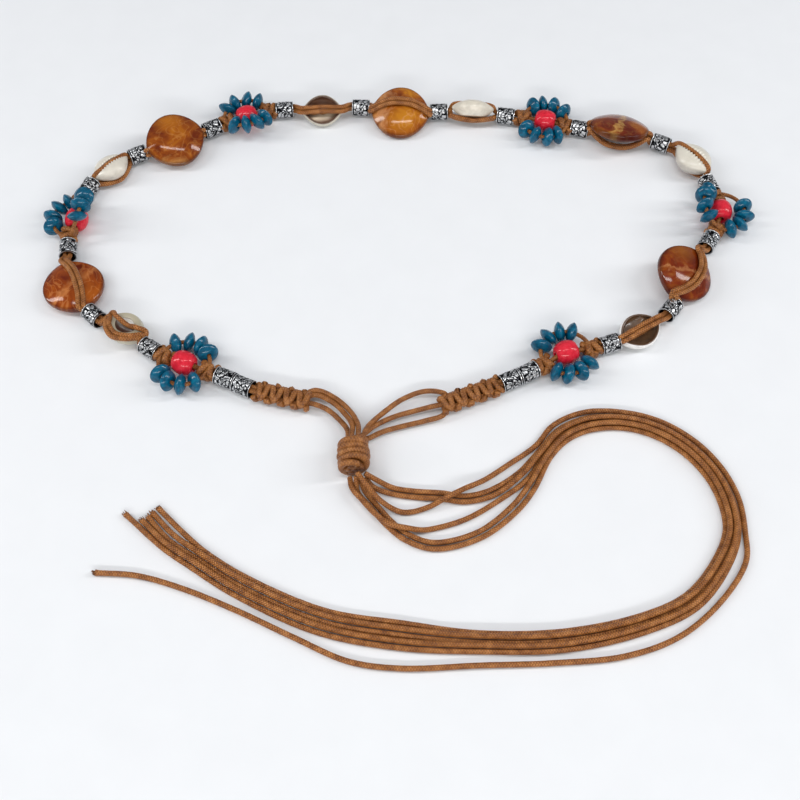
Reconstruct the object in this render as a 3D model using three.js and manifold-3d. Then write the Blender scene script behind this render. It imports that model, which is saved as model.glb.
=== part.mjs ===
// A braided tie belt laid down as a closed loop: six bead flowers, five marbled ovals, six cowrie
// shells and twenty metal tubes on three strands of waxed cotton, square-knot bands at both ends,
// one knot that joins the ends, and six long loose tails. Millimetres, +Z up, resting on z = 0.
import * as THREE from 'three';
import { mergeVertices } from 'three/addons/utils/BufferGeometryUtils.js';
import Module from 'manifold-3d';

const wasm = await Module();
wasm.setup();

// Driving dimensions
const gap = 0.3;
const cord = { diameter: 2, sides: 8 };
const pair = { halfWidth: 1.8, shoulder: 1.32, halfFace: 0.96, halfEdge: 0.4 };
const tube = { diameter: 7, bore: 5.6, length: 7.4, sides: 10 };
const oval = {
  length: 24.6, width: 23.4, thickness: 8, rim: 2.6, bore: 2.8, sides: 14,
  flat: 0.32, shoulder: 0.72, bulge: 2.4, pointed: 0.3,
};
const shell = {
  length: 17.4, width: 13.2, front: 3.4, back: 5, wall: 1.3, slit: 2.7, groove: 3.4,
  outside: [10, 6], inside: [8, 4],
};
const redBead = { diameter: 9.4, end: 6, length: 8.8, bore: 2.9, barrel: 0.3, sides: 10 };
const petal = { diameter: 8.2, half: 2.4, ring: 9.7, sides: 8, angles: [-47, -16, 16, 47] };
const petalString = { diameter: 1.6, endAngle: 93 };
const sideKnot = { length: 6.2, width: 7.4, height: 6.4, neck: 4.4 };
const band = { width: 9, waist: 7, height: 5.2, bevel: 1.2, knots: 5, axis: 3.2, core: 4.2 };
const tieKnot = {
  x: -16.7, y: -27, length: 14, radius: 6.1, groove: 5.3, end: 4.6, rounding: 1, turns: 3, lean: 4, sides: 12,
};
const tubeAxis = 3.55;
const flowerAxis = 4.8;

// What lies round the loop, clockwise from the left end: the middle of each piece, its height above
// the surface, and face, the angle at which its front looks, from outwards (0) through up (90).
// pair is the side of the piece that the two outer strands pass (1 front, -1 back), slip how far
// they have slid across it, and slack how far they hang off it. size is a shell's share of the usual
// one, cut how far behind its middle the back is ground off, and dip is set where the core goes in
// and out of that window. arms are the angles of a flower's two strings of petals, and slide how far
// round the petals have slid on each.
const loop = [
  { kind: 'tube', x: -58.6, y: 3.9 },
  { kind: 'tube', x: -65.6, y: 7.5 },
  { kind: 'flower', x: -81.5, y: 13.5, arms: [0, 180], slide: [-7, 4] },
  { kind: 'tube', x: -95.2, y: 20.9 },
  {
    kind: 'cowrie', x: -105.4, y: 29.6, z: 4.4, face: 270, pair: -1, slip: -6.4, size: 1, cut: 2.6, dip: 1,
  },
  { kind: 'tube', x: -118.9, y: 36.6 },
  { kind: 'amber', x: -128.7, y: 50.4, z: 4, face: 90, pair: 1, slip: -2, slack: 0 },
  { kind: 'tube', x: -133.9, y: 69.7 },
  { kind: 'flower', x: -132.3, y: 84.6, arms: [3, 112], slide: [14, 14] },
  { kind: 'tube', x: -130.2, y: 102.5 },
  { kind: 'cowrie', x: -121.8, y: 112.7, z: 5.75, face: 80, pair: -1, slip: -4.2, size: 1, cut: 3 },
  { kind: 'tube', x: -111.8, y: 121.8 },
  { kind: 'amber', x: -95.9, y: 126.6, z: 7.3, face: 108, pair: -1, slip: 0, slack: 0 },
  { kind: 'tube', x: -81.5, y: 137.4 },
  { kind: 'flower', x: -66.7, y: 143.5, arms: [0, 155], slide: [0, 0] },
  { kind: 'tube', x: -50.6, y: 148.7 },
  { kind: 'cowrie', x: -34, y: 146.6, z: 4.9, face: 300, pair: -1, slip: 0, size: 1.05, cut: 1.8 },
  { kind: 'tube', x: -17.1, y: 150.1 },
  { kind: 'amber', x: 0.2, y: 145.1, z: 5.2, face: 107, pair: 1, slip: 3.2, slack: 0 },
  { kind: 'tube', x: 17, y: 147.5 },
  { kind: 'cowrie', x: 31.7, y: 146.1, z: 7, face: 35, pair: -1, slip: 0, size: 1.05, cut: 3.8 },
  { kind: 'tube', x: 46.2, y: 145 },
  { kind: 'flower', x: 63, y: 140.8, arms: [0, 180], slide: [0, 0] },
  { kind: 'tube', x: 77.9, y: 137.2 },
  { kind: 'amber', x: 94, y: 133, z: 8.2, face: 67, pair: -1, slip: -2, slack: 2.6 },
  { kind: 'tube', x: 112.1, y: 128.5 },
  { kind: 'cowrie', x: 124, y: 117.2, z: 6.2, face: 84, pair: -1, slip: -2, size: 1.12, cut: 3 },
  { kind: 'tube', x: 129.4, y: 104 },
  { kind: 'flower', x: 131.8, y: 88.8, arms: [2, 143], slide: [22, 0] },
  { kind: 'tube', x: 125, y: 73.6 },
  { kind: 'amber', x: 112.2, y: 54.9, z: 6.6, face: 64, pair: 1, slip: 4.4, slack: 0 },
  { kind: 'tube', x: 105.6, y: 39.6 },
  { kind: 'cowrie', x: 92, y: 28.4, z: 4.4, face: 260, pair: -1, slip: 0, size: 1.08, cut: 1.6 },
  { kind: 'tube', x: 80.1, y: 23.2 },
  { kind: 'flower', x: 63.1, y: 18.3, arms: [0, 180], slide: [6, 4] },
  { kind: 'tube', x: 48.1, y: 9.9 },
  { kind: 'tube', x: 41.1, y: 6.4 },
];

// Square-knot bands: from the mouth of the end tube to where the three leads come out
const bands = {
  left: { start: [-53.9, 2], end: [-33.8, -2.7] },
  right: { start: [37.4, 4.7], end: [15.6, -4.4] },
};

// Leads from each band to the tie knot, as x, y, z
const leads = {
  left: [
    [[-36, 0, 3.4], [-31.5, 2.2, 3.3], [-24.7, -0.9, 3.4], [-18, -8.4, 4.8], [-15.3, -15, 6.6],
      [-15.1, -19.3, 7.2]],
    [[-36, -1.6, 3.2], [-31.6, 0.2, 3.2], [-25.2, -3, 3.3], [-19.6, -9.8, 4.6], [-17.3, -15, 6.4],
      [-17.4, -19.3, 7.2]],
    [[-36, -3, 3], [-32, -3.6, 2.8], [-26.9, -6, 2.8], [-21.6, -11.6, 3.4], [-19.1, -16, 4.6],
      [-18.8, -19.3, 5]],
  ],
  right: [
    [[18.6, -2.6, 3.4], [16.6, 0.8, 3.2], [9.4, 2.2, 2.6], [1, -1.3, 2.6], [-6.3, -7.9, 3.4],
      [-11.6, -14.8, 5.4], [-12.8, -18.8, 7.2]],
    [[18.4, -3.6, 3], [14.6, -3.9, 2.6], [5.9, -6.1, 2.2], [-2.6, -9.2, 2.6], [-9.2, -13.6, 3.8],
      [-12.6, -17, 4.4], [-13.9, -18.8, 4.8]],
    [[18.4, -4.6, 3], [15.8, -8.3, 2.4], [9.6, -10.2, 1.8], [1, -12.6, 1.8], [-6.3, -15.2, 2.2],
      [-11, -18, 2.6], [-12.4, -18.8, 2.9]],
  ],
};

// Middle line that the six tails share, with how far they spread there (1 is side by side)
const bundle = [
  { x: 51.5, y: -23.5, spread: 1.05 },
  { x: 59, y: -14.8, spread: 1.15 },
  { x: 69, y: -10, spread: 1.15 },
  { x: 81.8, y: -9.4, spread: 1 },
  { x: 94.3, y: -13, spread: 1 },
  { x: 105.6, y: -21.2, spread: 1 },
  { x: 113.2, y: -31.8, spread: 1 },
  { x: 117, y: -43.4, spread: 1 },
  { x: 117.2, y: -55.2, spread: 1 },
  { x: 111.8, y: -67.8, spread: 1.1 },
  { x: 99.6, y: -82.2, spread: 1.2 },
  { x: 82, y: -90.6, spread: 1.25 },
  { x: 55, y: -96.8, spread: 1.4 },
  { x: 26, y: -97.4, spread: 1.4 },
  { x: 0, y: -95.6, spread: 1.9 },
  { x: -27, y: -90.4, spread: 1.75 },
  { x: -54.8, y: -77.6, spread: 1.6 },
  { x: -71.4, y: -66.8, spread: 1.6 },
];
const partingStation = 9;

// Tails: the first points from the tie knot as x, y, z, the lane in the shared stretch, counted
// outwards from its middle line, whether they lie on the lower ones there, and the last points
const tails = [
  {
    start: [[-12.5, -34.9, 6.3], [-9.1, -36, 4.4], [-2.5, -38, 1.3], [5.7, -39.3, 1], [14.5, -39.9, 1],
      [23.6, -41.1, 1], [32.2, -38.8, 1], [42.4, -32, 1]],
    lane: 0.5, upper: false,
    finish: [[-82.3, -61.4, 1], [-96.6, -48.5, 1]],
  },
  {
    start: [[-12.5, -34.9, 3.6], [-9.6, -37.8, 1.8], [-2.5, -40.4, 1], [5.7, -41.7, 1], [14.5, -42.3, 1],
      [23, -43.5, 1], [33.1, -41, 1.1], [43.6, -33.3, 2.7]],
    lane: 0, upper: true,
    finish: [[-81.3, -60.1, 2.5], [-90.6, -50.8, 1]],
  },
  {
    start: [[-15.2, -34.9, 7], [-12, -38.8, 5.3], [-6.2, -44.4, 2.6], [1, -47.6, 1], [9.8, -46, 1.6],
      [16.5, -42.9, 3.5], [23, -39.4, 3.5], [30, -35.2, 1.8], [38.6, -28.8, 1]],
    lane: 1.5, upper: false,
    finish: [[119.2, -66.4, 1], [108.8, -81, 1], [93, -93.8, 1], [74.4, -100.6, 1], [50, -103, 1],
      [26, -103.8, 1], [0, -104.8, 1], [-17, -102.4, 1], [-36, -93.8, 1], [-55, -84.6, 1],
      [-74.1, -76.6, 1], [-90, -71.9, 1], [-104.3, -70.8, 1]],
  },
  {
    start: [[-17.9, -34.9, 3.2], [-17, -39.2, 3.4], [-13, -44.4, 3.4], [-8.4, -49.8, 3.6], [-3.2, -53.6, 3.6],
      [2.4, -54.9, 3.4], [9, -54.6, 1.2], [22.6, -50.6, 1], [35, -43, 1], [45.4, -34.6, 1]],
    lane: -0.5, upper: false,
    finish: [[-80.2, -58.7, 1], [-88.6, -49.6, 1]],
  },
  {
    start: [[-15.6, -34.9, 4.4], [-15.2, -39.6, 1.5], [-10.8, -45.2, 1], [-5, -52.4, 1], [1.2, -58, 1],
      [9.6, -61.6, 1], [17.6, -61.3, 1], [30, -56.6, 1], [42, -46.4, 1], [48, -38.2, 1]],
    lane: -1.5, upper: false,
    finish: [[-77, -54.4, 1], [-85.2, -46.2, 1]],
  },
  {
    start: [[-14.3, -34.9, 1.6], [-12.2, -39.6, 1], [-8.4, -44.6, 1], [-3, -51.2, 1], [2.8, -56.2, 1],
      [10, -59.2, 1], [17, -58.9, 1], [28.6, -54.6, 1], [40.2, -44.6, 1], [46.6, -36.2, 1.9]],
    lane: -1, upper: true,
    finish: [[-78.7, -56.7, 1.2], [-87.2, -47.9, 1]],
  },
];

// Colours and finishes
const finishes = {
  tube: { color: 0x9b9b98, metalness: 0.9, roughness: 0.4 },
  amber: { color: 0x9c5318, metalness: 0, roughness: 0.15 },
  cowrie: { color: 0xefe6d6, metalness: 0, roughness: 0.3 },
  red: { color: 0xd8394b, metalness: 0, roughness: 0.3 },
  petal: { color: 0x0a6d90, metalness: 0, roughness: 0.35 },
  cord: { color: 0xa5703a, metalness: 0, roughness: 0.6 },
};
const group = new THREE.Group();
const up = new THREE.Vector3(0, 0, 1);
const point = (x, y, z) => new THREE.Vector3(x, y, z);
const radians = THREE.MathUtils.degToRad;

// Booleans
function toSolid(geometry) {
  const bare = geometry.clone();
  bare.deleteAttribute('normal');
  bare.deleteAttribute('uv');
  const merged = mergeVertices(bare, 1e-4);
  return new wasm.Manifold(new wasm.Mesh({
    numProp: 3,
    vertProperties: new Float32Array(merged.attributes.position.array),
    triVerts: new Uint32Array(merged.index.array),
  }));
}

function toGeometry(solid) {
  const mesh = solid.getMesh();
  const geometry = new THREE.BufferGeometry();
  geometry.setAttribute('position', new THREE.BufferAttribute(Float32Array.from(mesh.vertProperties), 3));
  geometry.setIndex(new THREE.BufferAttribute(Uint32Array.from(mesh.triVerts), 1));
  geometry.computeVertexNormals();
  return geometry;
}

function fuse(geometries) {
  return geometries.map(toSolid).reduce((all, next) => all.add(next));
}

function addPiece(name, geometry, finish) {
  const mesh = new THREE.Mesh(geometry, new THREE.MeshStandardMaterial(finishes[finish]));
  mesh.name = name;
  group.add(mesh);
  return mesh;
}

// A swept route whose rings stand at its own points. sides, where given, is the direction across
// a flat section at each point.
class Route extends THREE.CatmullRomCurve3 {
  constructor(points, sides = null) {
    super(points, false, 'centripetal');
    this.sides = sides;
  }

  getSpacedPoints() {
    return this.points;
  }

  getTangentAt(u) {
    return this.getTangent(u);
  }

  computeFrenetFrames(steps, closed) {
    const frames = super.computeFrenetFrames(steps, closed);
    if (this.sides) {
      this.sides.forEach((side, i) => {
        const tangent = frames.tangents[i];
        frames.normals[i] = tangent.clone().cross(side).normalize();
        frames.binormals[i] = tangent.clone().cross(frames.normals[i]);
      });
    }
    return frames;
  }
}

function roundSection(diameter, sides) {
  const section = new THREE.Shape();
  for (let i = 0; i < sides; i += 1) {
    const angle = (2 * Math.PI * (i + 0.5)) / sides;
    const corner = [Math.cos(angle) * diameter / 2, Math.sin(angle) * diameter / 2];
    if (i === 0) section.moveTo(...corner);
    else section.lineTo(...corner);
  }
  section.closePath();
  return section;
}

// Two strands side by side, as one flat section: its thin way is the section's x
function pairSection() {
  return new THREE.Shape([
    [pair.halfFace, -pair.shoulder], [pair.halfFace, pair.shoulder],
    [pair.halfEdge, pair.halfWidth], [-pair.halfEdge, pair.halfWidth],
    [-pair.halfFace, pair.shoulder], [-pair.halfFace, -pair.shoulder],
    [-pair.halfEdge, -pair.halfWidth], [pair.halfEdge, -pair.halfWidth],
  ].map(([x, y]) => new THREE.Vector2(x, y)));
}

function sweep(section, points, sides = null) {
  const extrudePath = new Route(points, sides);
  return new THREE.ExtrudeGeometry(section, { steps: points.length - 1, bevelEnabled: false, extrudePath });
}

function strand(points) {
  return sweep(roundSection(cord.diameter, cord.sides), points);
}

function lathe(profile, sides) {
  return new THREE.LatheGeometry(profile.map(([x, y]) => new THREE.Vector2(x, y)), sides);
}

// A drilled ring profile: from the bore's near end round the outside and back
function drilled(bore, outside, sides) {
  const half = outside[outside.length - 1][1];
  const bottom = outside[0][1];
  const profile = [[bore / 2, bottom], ...outside, [bore / 2, half], [bore / 2, bottom]];
  return lathe(profile, sides);
}

// Places: each piece has its travel direction along the loop, and outwards is to the left of it
loop.forEach((piece, i) => {
  const before = loop[i - 1] ?? { x: bands.left.start[0], y: bands.left.start[1] };
  const after = loop[i + 1] ?? { x: bands.right.start[0], y: bands.right.start[1] };
  const resting = { tube: tubeAxis, flower: flowerAxis }[piece.kind];
  piece.middle = point(piece.x, piece.y, piece.z ?? resting);
  piece.travel = point(after.x - before.x, after.y - before.y, 0).normalize();
  piece.outward = up.clone().cross(piece.travel);
  piece.look = lookAlong(piece, piece.face ?? 90);
  piece.across = piece.look.clone().cross(piece.travel);
});
loop.filter((piece) => piece.kind === 'tube').forEach(turnToPair);

// Inside a tube the pair lies towards the side that it passes on the neighbouring pieces
function turnToPair(piece) {
  const place = loop.indexOf(piece);
  const sides = [loop[place - 1], loop[place + 1]].filter((next) => next?.pair);
  const lean = sides.reduce((sum, next) => sum.addScaledVector(next.look, next.pair), point(0, 0, 0));
  if (lean.length() < gap) lean.copy(up);
  const flat = lean.addScaledVector(piece.travel, -lean.dot(piece.travel));
  piece.look = flat.normalize();
  piece.across = piece.look.clone().cross(piece.travel);
}

function lookAlong(piece, degrees) {
  const angle = radians(degrees);
  return piece.outward.clone().multiplyScalar(Math.cos(angle)).addScaledVector(up, Math.sin(angle));
}

// A point in a piece's own frame: along the travel, across it, and towards its front
function on(piece, along, across, front) {
  return piece.middle.clone()
    .addScaledVector(piece.travel, along)
    .addScaledVector(piece.across, across)
    .addScaledVector(piece.look, front);
}

function settle(geometry, piece) {
  const basis = new THREE.Matrix4().makeBasis(piece.travel, piece.across, piece.look);
  return geometry.applyMatrix4(basis.setPosition(piece.middle));
}

// Each hard piece can be made with its walls padded, for the soft strands to keep clear of
function tubeSolid(pad = 0) {
  const half = tube.length / 2 + pad;
  const radius = tube.diameter / 2 + pad;
  const wall = [[radius, -half], [radius, half]];
  return toSolid(drilled(tube.bore - 2 * pad, wall, tube.sides).rotateZ(-Math.PI / 2));
}

// Marbled oval: a pillow with a narrow rim and flat middles, round at its sides and pointed at its
// drilled ends
function ovalThickness(share) {
  const fall = share > oval.flat ? share ** oval.bulge : 0;
  return oval.rim + (oval.thickness - oval.rim) * (1 - fall);
}

function ovalSolid(pad = 0) {
  const rings = [oval.flat, oval.shoulder, 1];
  const profile = [[0, -oval.thickness / 2 - pad]];
  rings.forEach((share) => profile.push([share, -ovalThickness(share) / 2 - pad]));
  rings.toReversed().forEach((share) => profile.push([share, ovalThickness(share) / 2 + pad]));
  profile.push([0, oval.thickness / 2 + pad]);
  const pillow = lathe(profile, oval.sides).rotateX(Math.PI / 2);
  const place = pillow.attributes.position;
  for (let i = 0; i < place.count; i += 1) {
    const x = place.getX(i);
    const y = place.getY(i);
    const pointed = Math.abs(y) < 1e-9 ? 1 : (Math.abs(y) / Math.hypot(x, y)) ** oval.pointed;
    place.setXY(i, x * (oval.length / 2 + pad), y * pointed * (oval.width / 2 + pad));
  }
  const radius = oval.bore / 2 - pad;
  const drill = new THREE.CylinderGeometry(radius, radius, 2 * oval.length, cord.sides).rotateZ(Math.PI / 2);
  return toSolid(pillow).subtract(toSolid(drill));
}

// Cowrie: a hollow egg whose back is ground off, with the toothed slit along its front
function egg(inset, [sides, rings]) {
  const ball = new THREE.SphereGeometry(1, sides, rings).rotateZ(Math.PI / 2);
  const place = ball.attributes.position;
  for (let i = 0; i < place.count; i += 1) {
    const z = place.getZ(i);
    place.setXYZ(
      i,
      place.getX(i) * (shell.length / 2 - inset),
      place.getY(i) * (shell.width / 2 - inset),
      z * ((z > 0 ? shell.front : shell.back) - inset),
    );
  }
  return toSolid(ball);
}

function shellSolid(pad, { cut }) {
  const deep = shell.length;
  const wide = 2 * shell.length;
  const ground = new THREE.BoxGeometry(wide, wide, deep).translate(0, 0, -cut - pad - deep / 2);
  const slit = new THREE.BoxGeometry(wide, shell.slit - 2 * pad, deep);
  slit.translate(0, 0, shell.front - shell.groove + pad + deep / 2);
  const body = egg(-pad, shell.outside).subtract(egg(shell.wall + pad, shell.inside));
  return body.subtract(toSolid(ground)).subtract(toSolid(slit));
}

// A hard piece's solid at its place on the loop
function placed(piece, pad = 0) {
  const solid = { tube: tubeSolid, amber: ovalSolid, cowrie: shellSolid }[piece.kind](pad, piece);
  const size = piece.size ?? 1;
  const basis = new THREE.Matrix4().makeBasis(piece.travel, piece.across, piece.look);
  basis.scale(point(size, size, size)).setPosition(piece.middle);
  return solid.transform(basis.elements);
}

// Flower: a red bead on the core, and a string of four petals on each side between two side knots
function redBeadGeometry() {
  const half = redBead.length / 2;
  const outside = [[redBead.end / 2, -half], [redBead.diameter / 2, -half * redBead.barrel],
    [redBead.diameter / 2, half * redBead.barrel], [redBead.end / 2, half]];
  return drilled(redBead.bore, outside, redBead.sides).rotateZ(-Math.PI / 2);
}

// The side knot next to a tube lies against its mouth, on the tube's own axis
function sideKnotPlace(neighbour, side) {
  return on(neighbour, side * (tube.length / 2 + gap + sideKnot.length / 2), 0, 0);
}

function sideKnotGeometry(neighbour, side) {
  const half = sideKnot.length / 2;
  const neck = sideKnot.neck / 2;
  const profile = [[0, -half], [neck, -half], [sideKnot.width / 2, 0], [neck, half], [0, half]];
  const knot = lathe(profile, cord.sides).rotateZ(-Math.PI / 2).scale(1, 1, sideKnot.height / sideKnot.width);
  const basis = new THREE.Matrix4().makeBasis(neighbour.travel, neighbour.outward, up);
  return knot.applyMatrix4(basis.setPosition(sideKnotPlace(neighbour, side)));
}

// Four petals on their string: turned along a straight line, then bent round the red bead
function petalStringGeometry(flower, degrees, slide) {
  const arcs = petal.angles.map((angle) => radians(angle + slide) * petal.ring);
  const end = radians(petalString.endAngle) * petal.ring;
  const neck = petalString.diameter / 2;
  const profile = [[0, -end], [neck, -end]];
  arcs.forEach((arc) => {
    profile.push([neck, arc - petal.half], [petal.diameter / 2, arc], [neck, arc + petal.half]);
  });
  profile.push([neck, end], [0, end]);
  const string = lathe(profile, petal.sides).rotateY(Math.PI / petal.sides);
  const arm = lookAlong(flower, degrees);
  const normal = arm.clone().cross(flower.travel);
  const place = string.attributes.position;
  for (let i = 0; i < place.count; i += 1) {
    const turn = place.getY(i) / petal.ring;
    const radius = petal.ring + place.getX(i);
    const bent = flower.middle.clone()
      .addScaledVector(flower.travel, radius * Math.sin(turn))
      .addScaledVector(arm, radius * Math.cos(turn))
      .addScaledVector(normal, place.getZ(i));
    place.setXYZ(i, bent.x, bent.y, bent.z);
  }
  return string;
}

function petalsGeometry(flower, before, after) {
  const besideBead = redBead.length / 2 + gap;
  const core = strand([
    sideKnotPlace(before, 1),
    flower.middle.clone().addScaledVector(flower.travel, -besideBead),
    flower.middle.clone().addScaledVector(flower.travel, besideBead),
    sideKnotPlace(after, -1),
  ]);
  const strings = flower.arms.map((degrees, i) => petalStringGeometry(flower, degrees, flower.slide[i]));
  return toGeometry(fuse([sideKnotGeometry(before, 1), sideKnotGeometry(after, -1), core, ...strings]));
}

// Cotton gives way to the hard pieces that it passes
function giveWay(soft, pieces) {
  return pieces.reduce((left, piece) => left.subtract(placed(piece, gap)), soft);
}

// Strands between two flowers: the core through every bore and slit, and the pair of outer strands.
// Each piece gives the points where they pass it, in its own frame, as shares of its length.
const inTube = { coreDrop: 1.1, pairRise: 1, together: 0.7, mouth: tube.length / 2 + 0.7 };
const atAmber = { core: [-0.53, 0.53], pair: [-0.52, -0.36, -0.16, 0.16, 0.36, 0.52] };
const atCowrie = {
  core: [-0.45, 0.45], pair: [-0.48, 0, 0.48], dipped: [-0.48, -0.28, 0, 0.28, 0.48],
  beside: 1, besideEnd: 2.4, endDrop: 0.55,
};
const clear = cord.diameter / 2 + gap + 0.05;

// How high a strand still lies towards a shell's end, where it comes down to the tube
function overEnd(share) {
  return 1 - atCowrie.endDrop * (2 * share) ** 4;
}

function corePoints(piece) {
  const { coreDrop, mouth } = inTube;
  if (piece.kind === 'tube') return [-mouth, mouth].map((along) => on(piece, along, 0, -coreDrop));
  if (piece.kind === 'amber') return atAmber.core.map((share) => on(piece, share * oval.length, 0, 0));
  if (piece.dip) {
    return atCowrie.dipped.map((share, i) => {
      const atEnd = i === 0 || i === atCowrie.dipped.length - 1;
      const above = -(piece.size * piece.cut + clear) * overEnd(share);
      const rise = share === 0 ? piece.dip - piece.size * piece.cut : above;
      const beside = atEnd ? atCowrie.besideEnd : atCowrie.beside;
      return on(piece, share * piece.size * shell.length, beside, rise);
    });
  }
  const inSlit = piece.size * (shell.front - shell.groove + cord.diameter / 2 + gap);
  return atCowrie.core.map((share) => on(piece, share * piece.size * shell.length, 0, inSlit));
}

function pairPoints(piece) {
  const { pairRise, mouth } = inTube;
  if (piece.kind === 'tube') return [-mouth, mouth].map((along) => on(piece, along, 0, pairRise));
  if (piece.kind === 'amber') {
    return atAmber.pair.map((share) => {
      const surface = ovalThickness(Math.min(1, Math.abs(2 * share))) / 2;
      const middle = 1 - (2 * share) ** 2;
      const rise = surface + clear + piece.slack * middle;
      return on(piece, share * oval.length, piece.slip * middle, piece.pair * rise);
    });
  }
  const shares = piece.dip ? atCowrie.dipped : atCowrie.pair;
  return shares.map((share) => {
    const rise = piece.pair * (piece.size * piece.cut + clear) * (piece.dip ? overEnd(share) : 1);
    return on(piece, share * piece.size * shell.length, piece.slip * (1 - (2 * share) ** 2), rise);
  });
}

// The pair keeps its flat side to the piece that it passes
function pairSide(piece) {
  return piece.across.dot(piece.outward) < 0 ? piece.across.clone().negate() : piece.across;
}

function spanGeometry(pieces) {
  const core = pieces.flatMap(corePoints);
  const outer = pieces.flatMap(pairPoints);
  const sides = pieces.flatMap((piece) => pairPoints(piece).map(() => pairSide(piece)));
  const ends = [[pieces[0], -1, 0], [pieces.at(-1), 1, -1]];
  ends.forEach(([piece, side, place]) => {
    core.splice(place, 1, on(piece, side * tube.length / 2, 0, -inTube.together));
    outer.splice(place, 1, on(piece, side * tube.length / 2, 0, inTube.together));
  });
  return toGeometry(giveWay(fuse([strand(core), sweep(pairSection(), outer, sides)]), pieces));
}

// Band of square knots, with its core through the end tubes and its three leads
function bandGeometry({ start, end }) {
  const from = point(start[0], start[1], band.axis);
  const to = point(end[0], end[1], band.axis);
  const travel = to.clone().sub(from);
  const length = travel.length();
  const outline = new THREE.Shape();
  const pitch = length / band.knots;
  outline.moveTo(0, -band.waist / 2);
  for (let i = 0; i < band.knots; i += 1) {
    outline.lineTo((i + 0.5) * pitch, -band.width / 2);
    outline.lineTo((i + 1) * pitch, -band.waist / 2);
  }
  for (let i = band.knots; i > 0; i -= 1) {
    outline.lineTo(i * pitch, band.waist / 2);
    outline.lineTo((i - 0.5) * pitch, band.width / 2);
  }
  outline.lineTo(0, band.waist / 2);
  const { bevel } = band;
  const solid = new THREE.ExtrudeGeometry(outline, {
    depth: band.height - 2 * bevel,
    bevelThickness: bevel,
    bevelSize: bevel,
    bevelOffset: -bevel,
    bevelSegments: 1,
  });
  solid.translate(0, 0, bevel - band.height / 2).rotateZ(Math.atan2(travel.y, travel.x));
  return solid.translate(from.x, from.y, from.z);
}

function tubeRun(tubes, { start, end }) {
  const mouth = point(start[0], start[1], tubeAxis);
  const inward = point(end[0], end[1], tubeAxis).sub(mouth).normalize();
  const root = mouth.clone().addScaledVector(inward, cord.diameter);
  const half = tube.length / 2;
  const along = tubes.flatMap((piece) => [on(piece, -half, 0, 0), on(piece, half, 0, 0)]);
  const ordered = along.sort((a, b) => a.distanceTo(mouth) - b.distanceTo(mouth));
  return sweep(roundSection(band.core, cord.sides), [root, ...ordered]);
}

function sennitGeometry(side, tubes) {
  const strands = leads[side].map(toPoints).map(strand);
  const cotton = [bandGeometry(bands[side]), tubeRun(tubes, bands[side]), ...strands];
  return toGeometry(giveWay(fuse(cotton), tubes));
}

function toPoints(rows) {
  return rows.map(([x, y, z]) => point(x, y, z));
}

// Tie knot: a barrel of wraps that lean a little, its axis level and along y
function tieKnotGeometry() {
  const { radius, groove, end, rounding, turns, sides } = tieKnot;
  const half = tieKnot.length / 2;
  const profile = [[0, -half], [end, -half]];
  const pitch = (tieKnot.length - 2 * rounding) / turns;
  for (let i = 0; i < turns; i += 1) {
    const low = -half + rounding + i * pitch;
    if (i > 0) profile.push([groove, low]);
    profile.push([radius, low + pitch / 4], [radius, low + pitch * 3 / 4]);
  }
  profile.push([end, half], [0, half]);
  const knot = lathe(profile, sides).rotateY(Math.PI / sides).rotateZ(radians(tieKnot.lean));
  const axisHeight = radius * Math.cos(Math.PI / sides);
  return knot.translate(tieKnot.x, tieKnot.y, axisHeight);
}

// Tails: the shared stretch keeps each one in its lane, and the upper ones sink between their
// neighbours where the bundle spreads
function tailPoints({ start, lane, upper, finish }) {
  const pitch = cord.diameter + gap;
  const leavesEarly = finish.length > 2;
  const stations = leavesEarly ? bundle.slice(0, partingStation) : bundle;
  const shared = stations.map(({ x, y, spread }, i) => {
    const before = bundle[i - 1] ?? { x: start.at(-1)[0], y: start.at(-1)[1] };
    const after = bundle[i + 1] ?? { x: finish[0][0], y: finish[0][1] };
    const travel = point(after.x - before.x, after.y - before.y, 0).normalize();
    const outward = up.clone().cross(travel);
    const beside = pitch * spread / 2;
    const rise = Math.sqrt(Math.max(0, pitch ** 2 - beside ** 2));
    const height = cord.diameter / 2 + (upper ? rise : 0);
    return point(x, y, height).addScaledVector(outward, lane * pitch * spread);
  });
  return [...toPoints(start), ...shared, ...toPoints(finish)];
}

// Assembly
const counts = { tube: 0, flower: 0, amber: 0, cowrie: 0 };
const flowerAt = [];
loop.forEach((piece, i) => {
  counts[piece.kind] += 1;
  const number = counts[piece.kind];
  if (piece.kind === 'tube') {
    addPiece(`tube_${String(number).padStart(2, '0')}`, toGeometry(placed(piece)), 'tube');
  } else if (piece.kind !== 'flower') {
    addPiece(`${piece.kind}_${number}`, toGeometry(placed(piece)), piece.kind);
  } else {
    flowerAt.push(i);
    addPiece(`flower_${number}_center`, settle(redBeadGeometry(), piece), 'red');
    addPiece(`flower_${number}_petals`, petalsGeometry(piece, loop[i - 1], loop[i + 1]), 'petal');
  }
});
for (let i = 0; i + 1 < flowerAt.length; i += 1) {
  addPiece(`cord_span_${i + 1}`, spanGeometry(loop.slice(flowerAt[i] + 1, flowerAt[i + 1])), 'cord');
}
addPiece('sennit_left', sennitGeometry('left', loop.slice(0, 2)), 'cord');
addPiece('sennit_right', sennitGeometry('right', loop.slice(-2)), 'cord');
addPiece('tie_knot', tieKnotGeometry(), 'cord');

// The origin is under the middle of the belt, which its loose tails don't move
const reach = new THREE.Box3().setFromObject(group);
const centre = reach.getCenter(new THREE.Vector3());
tails.forEach((tail, i) => addPiece(`tail_${i + 1}`, strand(tailPoints(tail)), 'cord'));
group.position.set(-centre.x, -centre.y, 0);

export default group;
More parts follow.
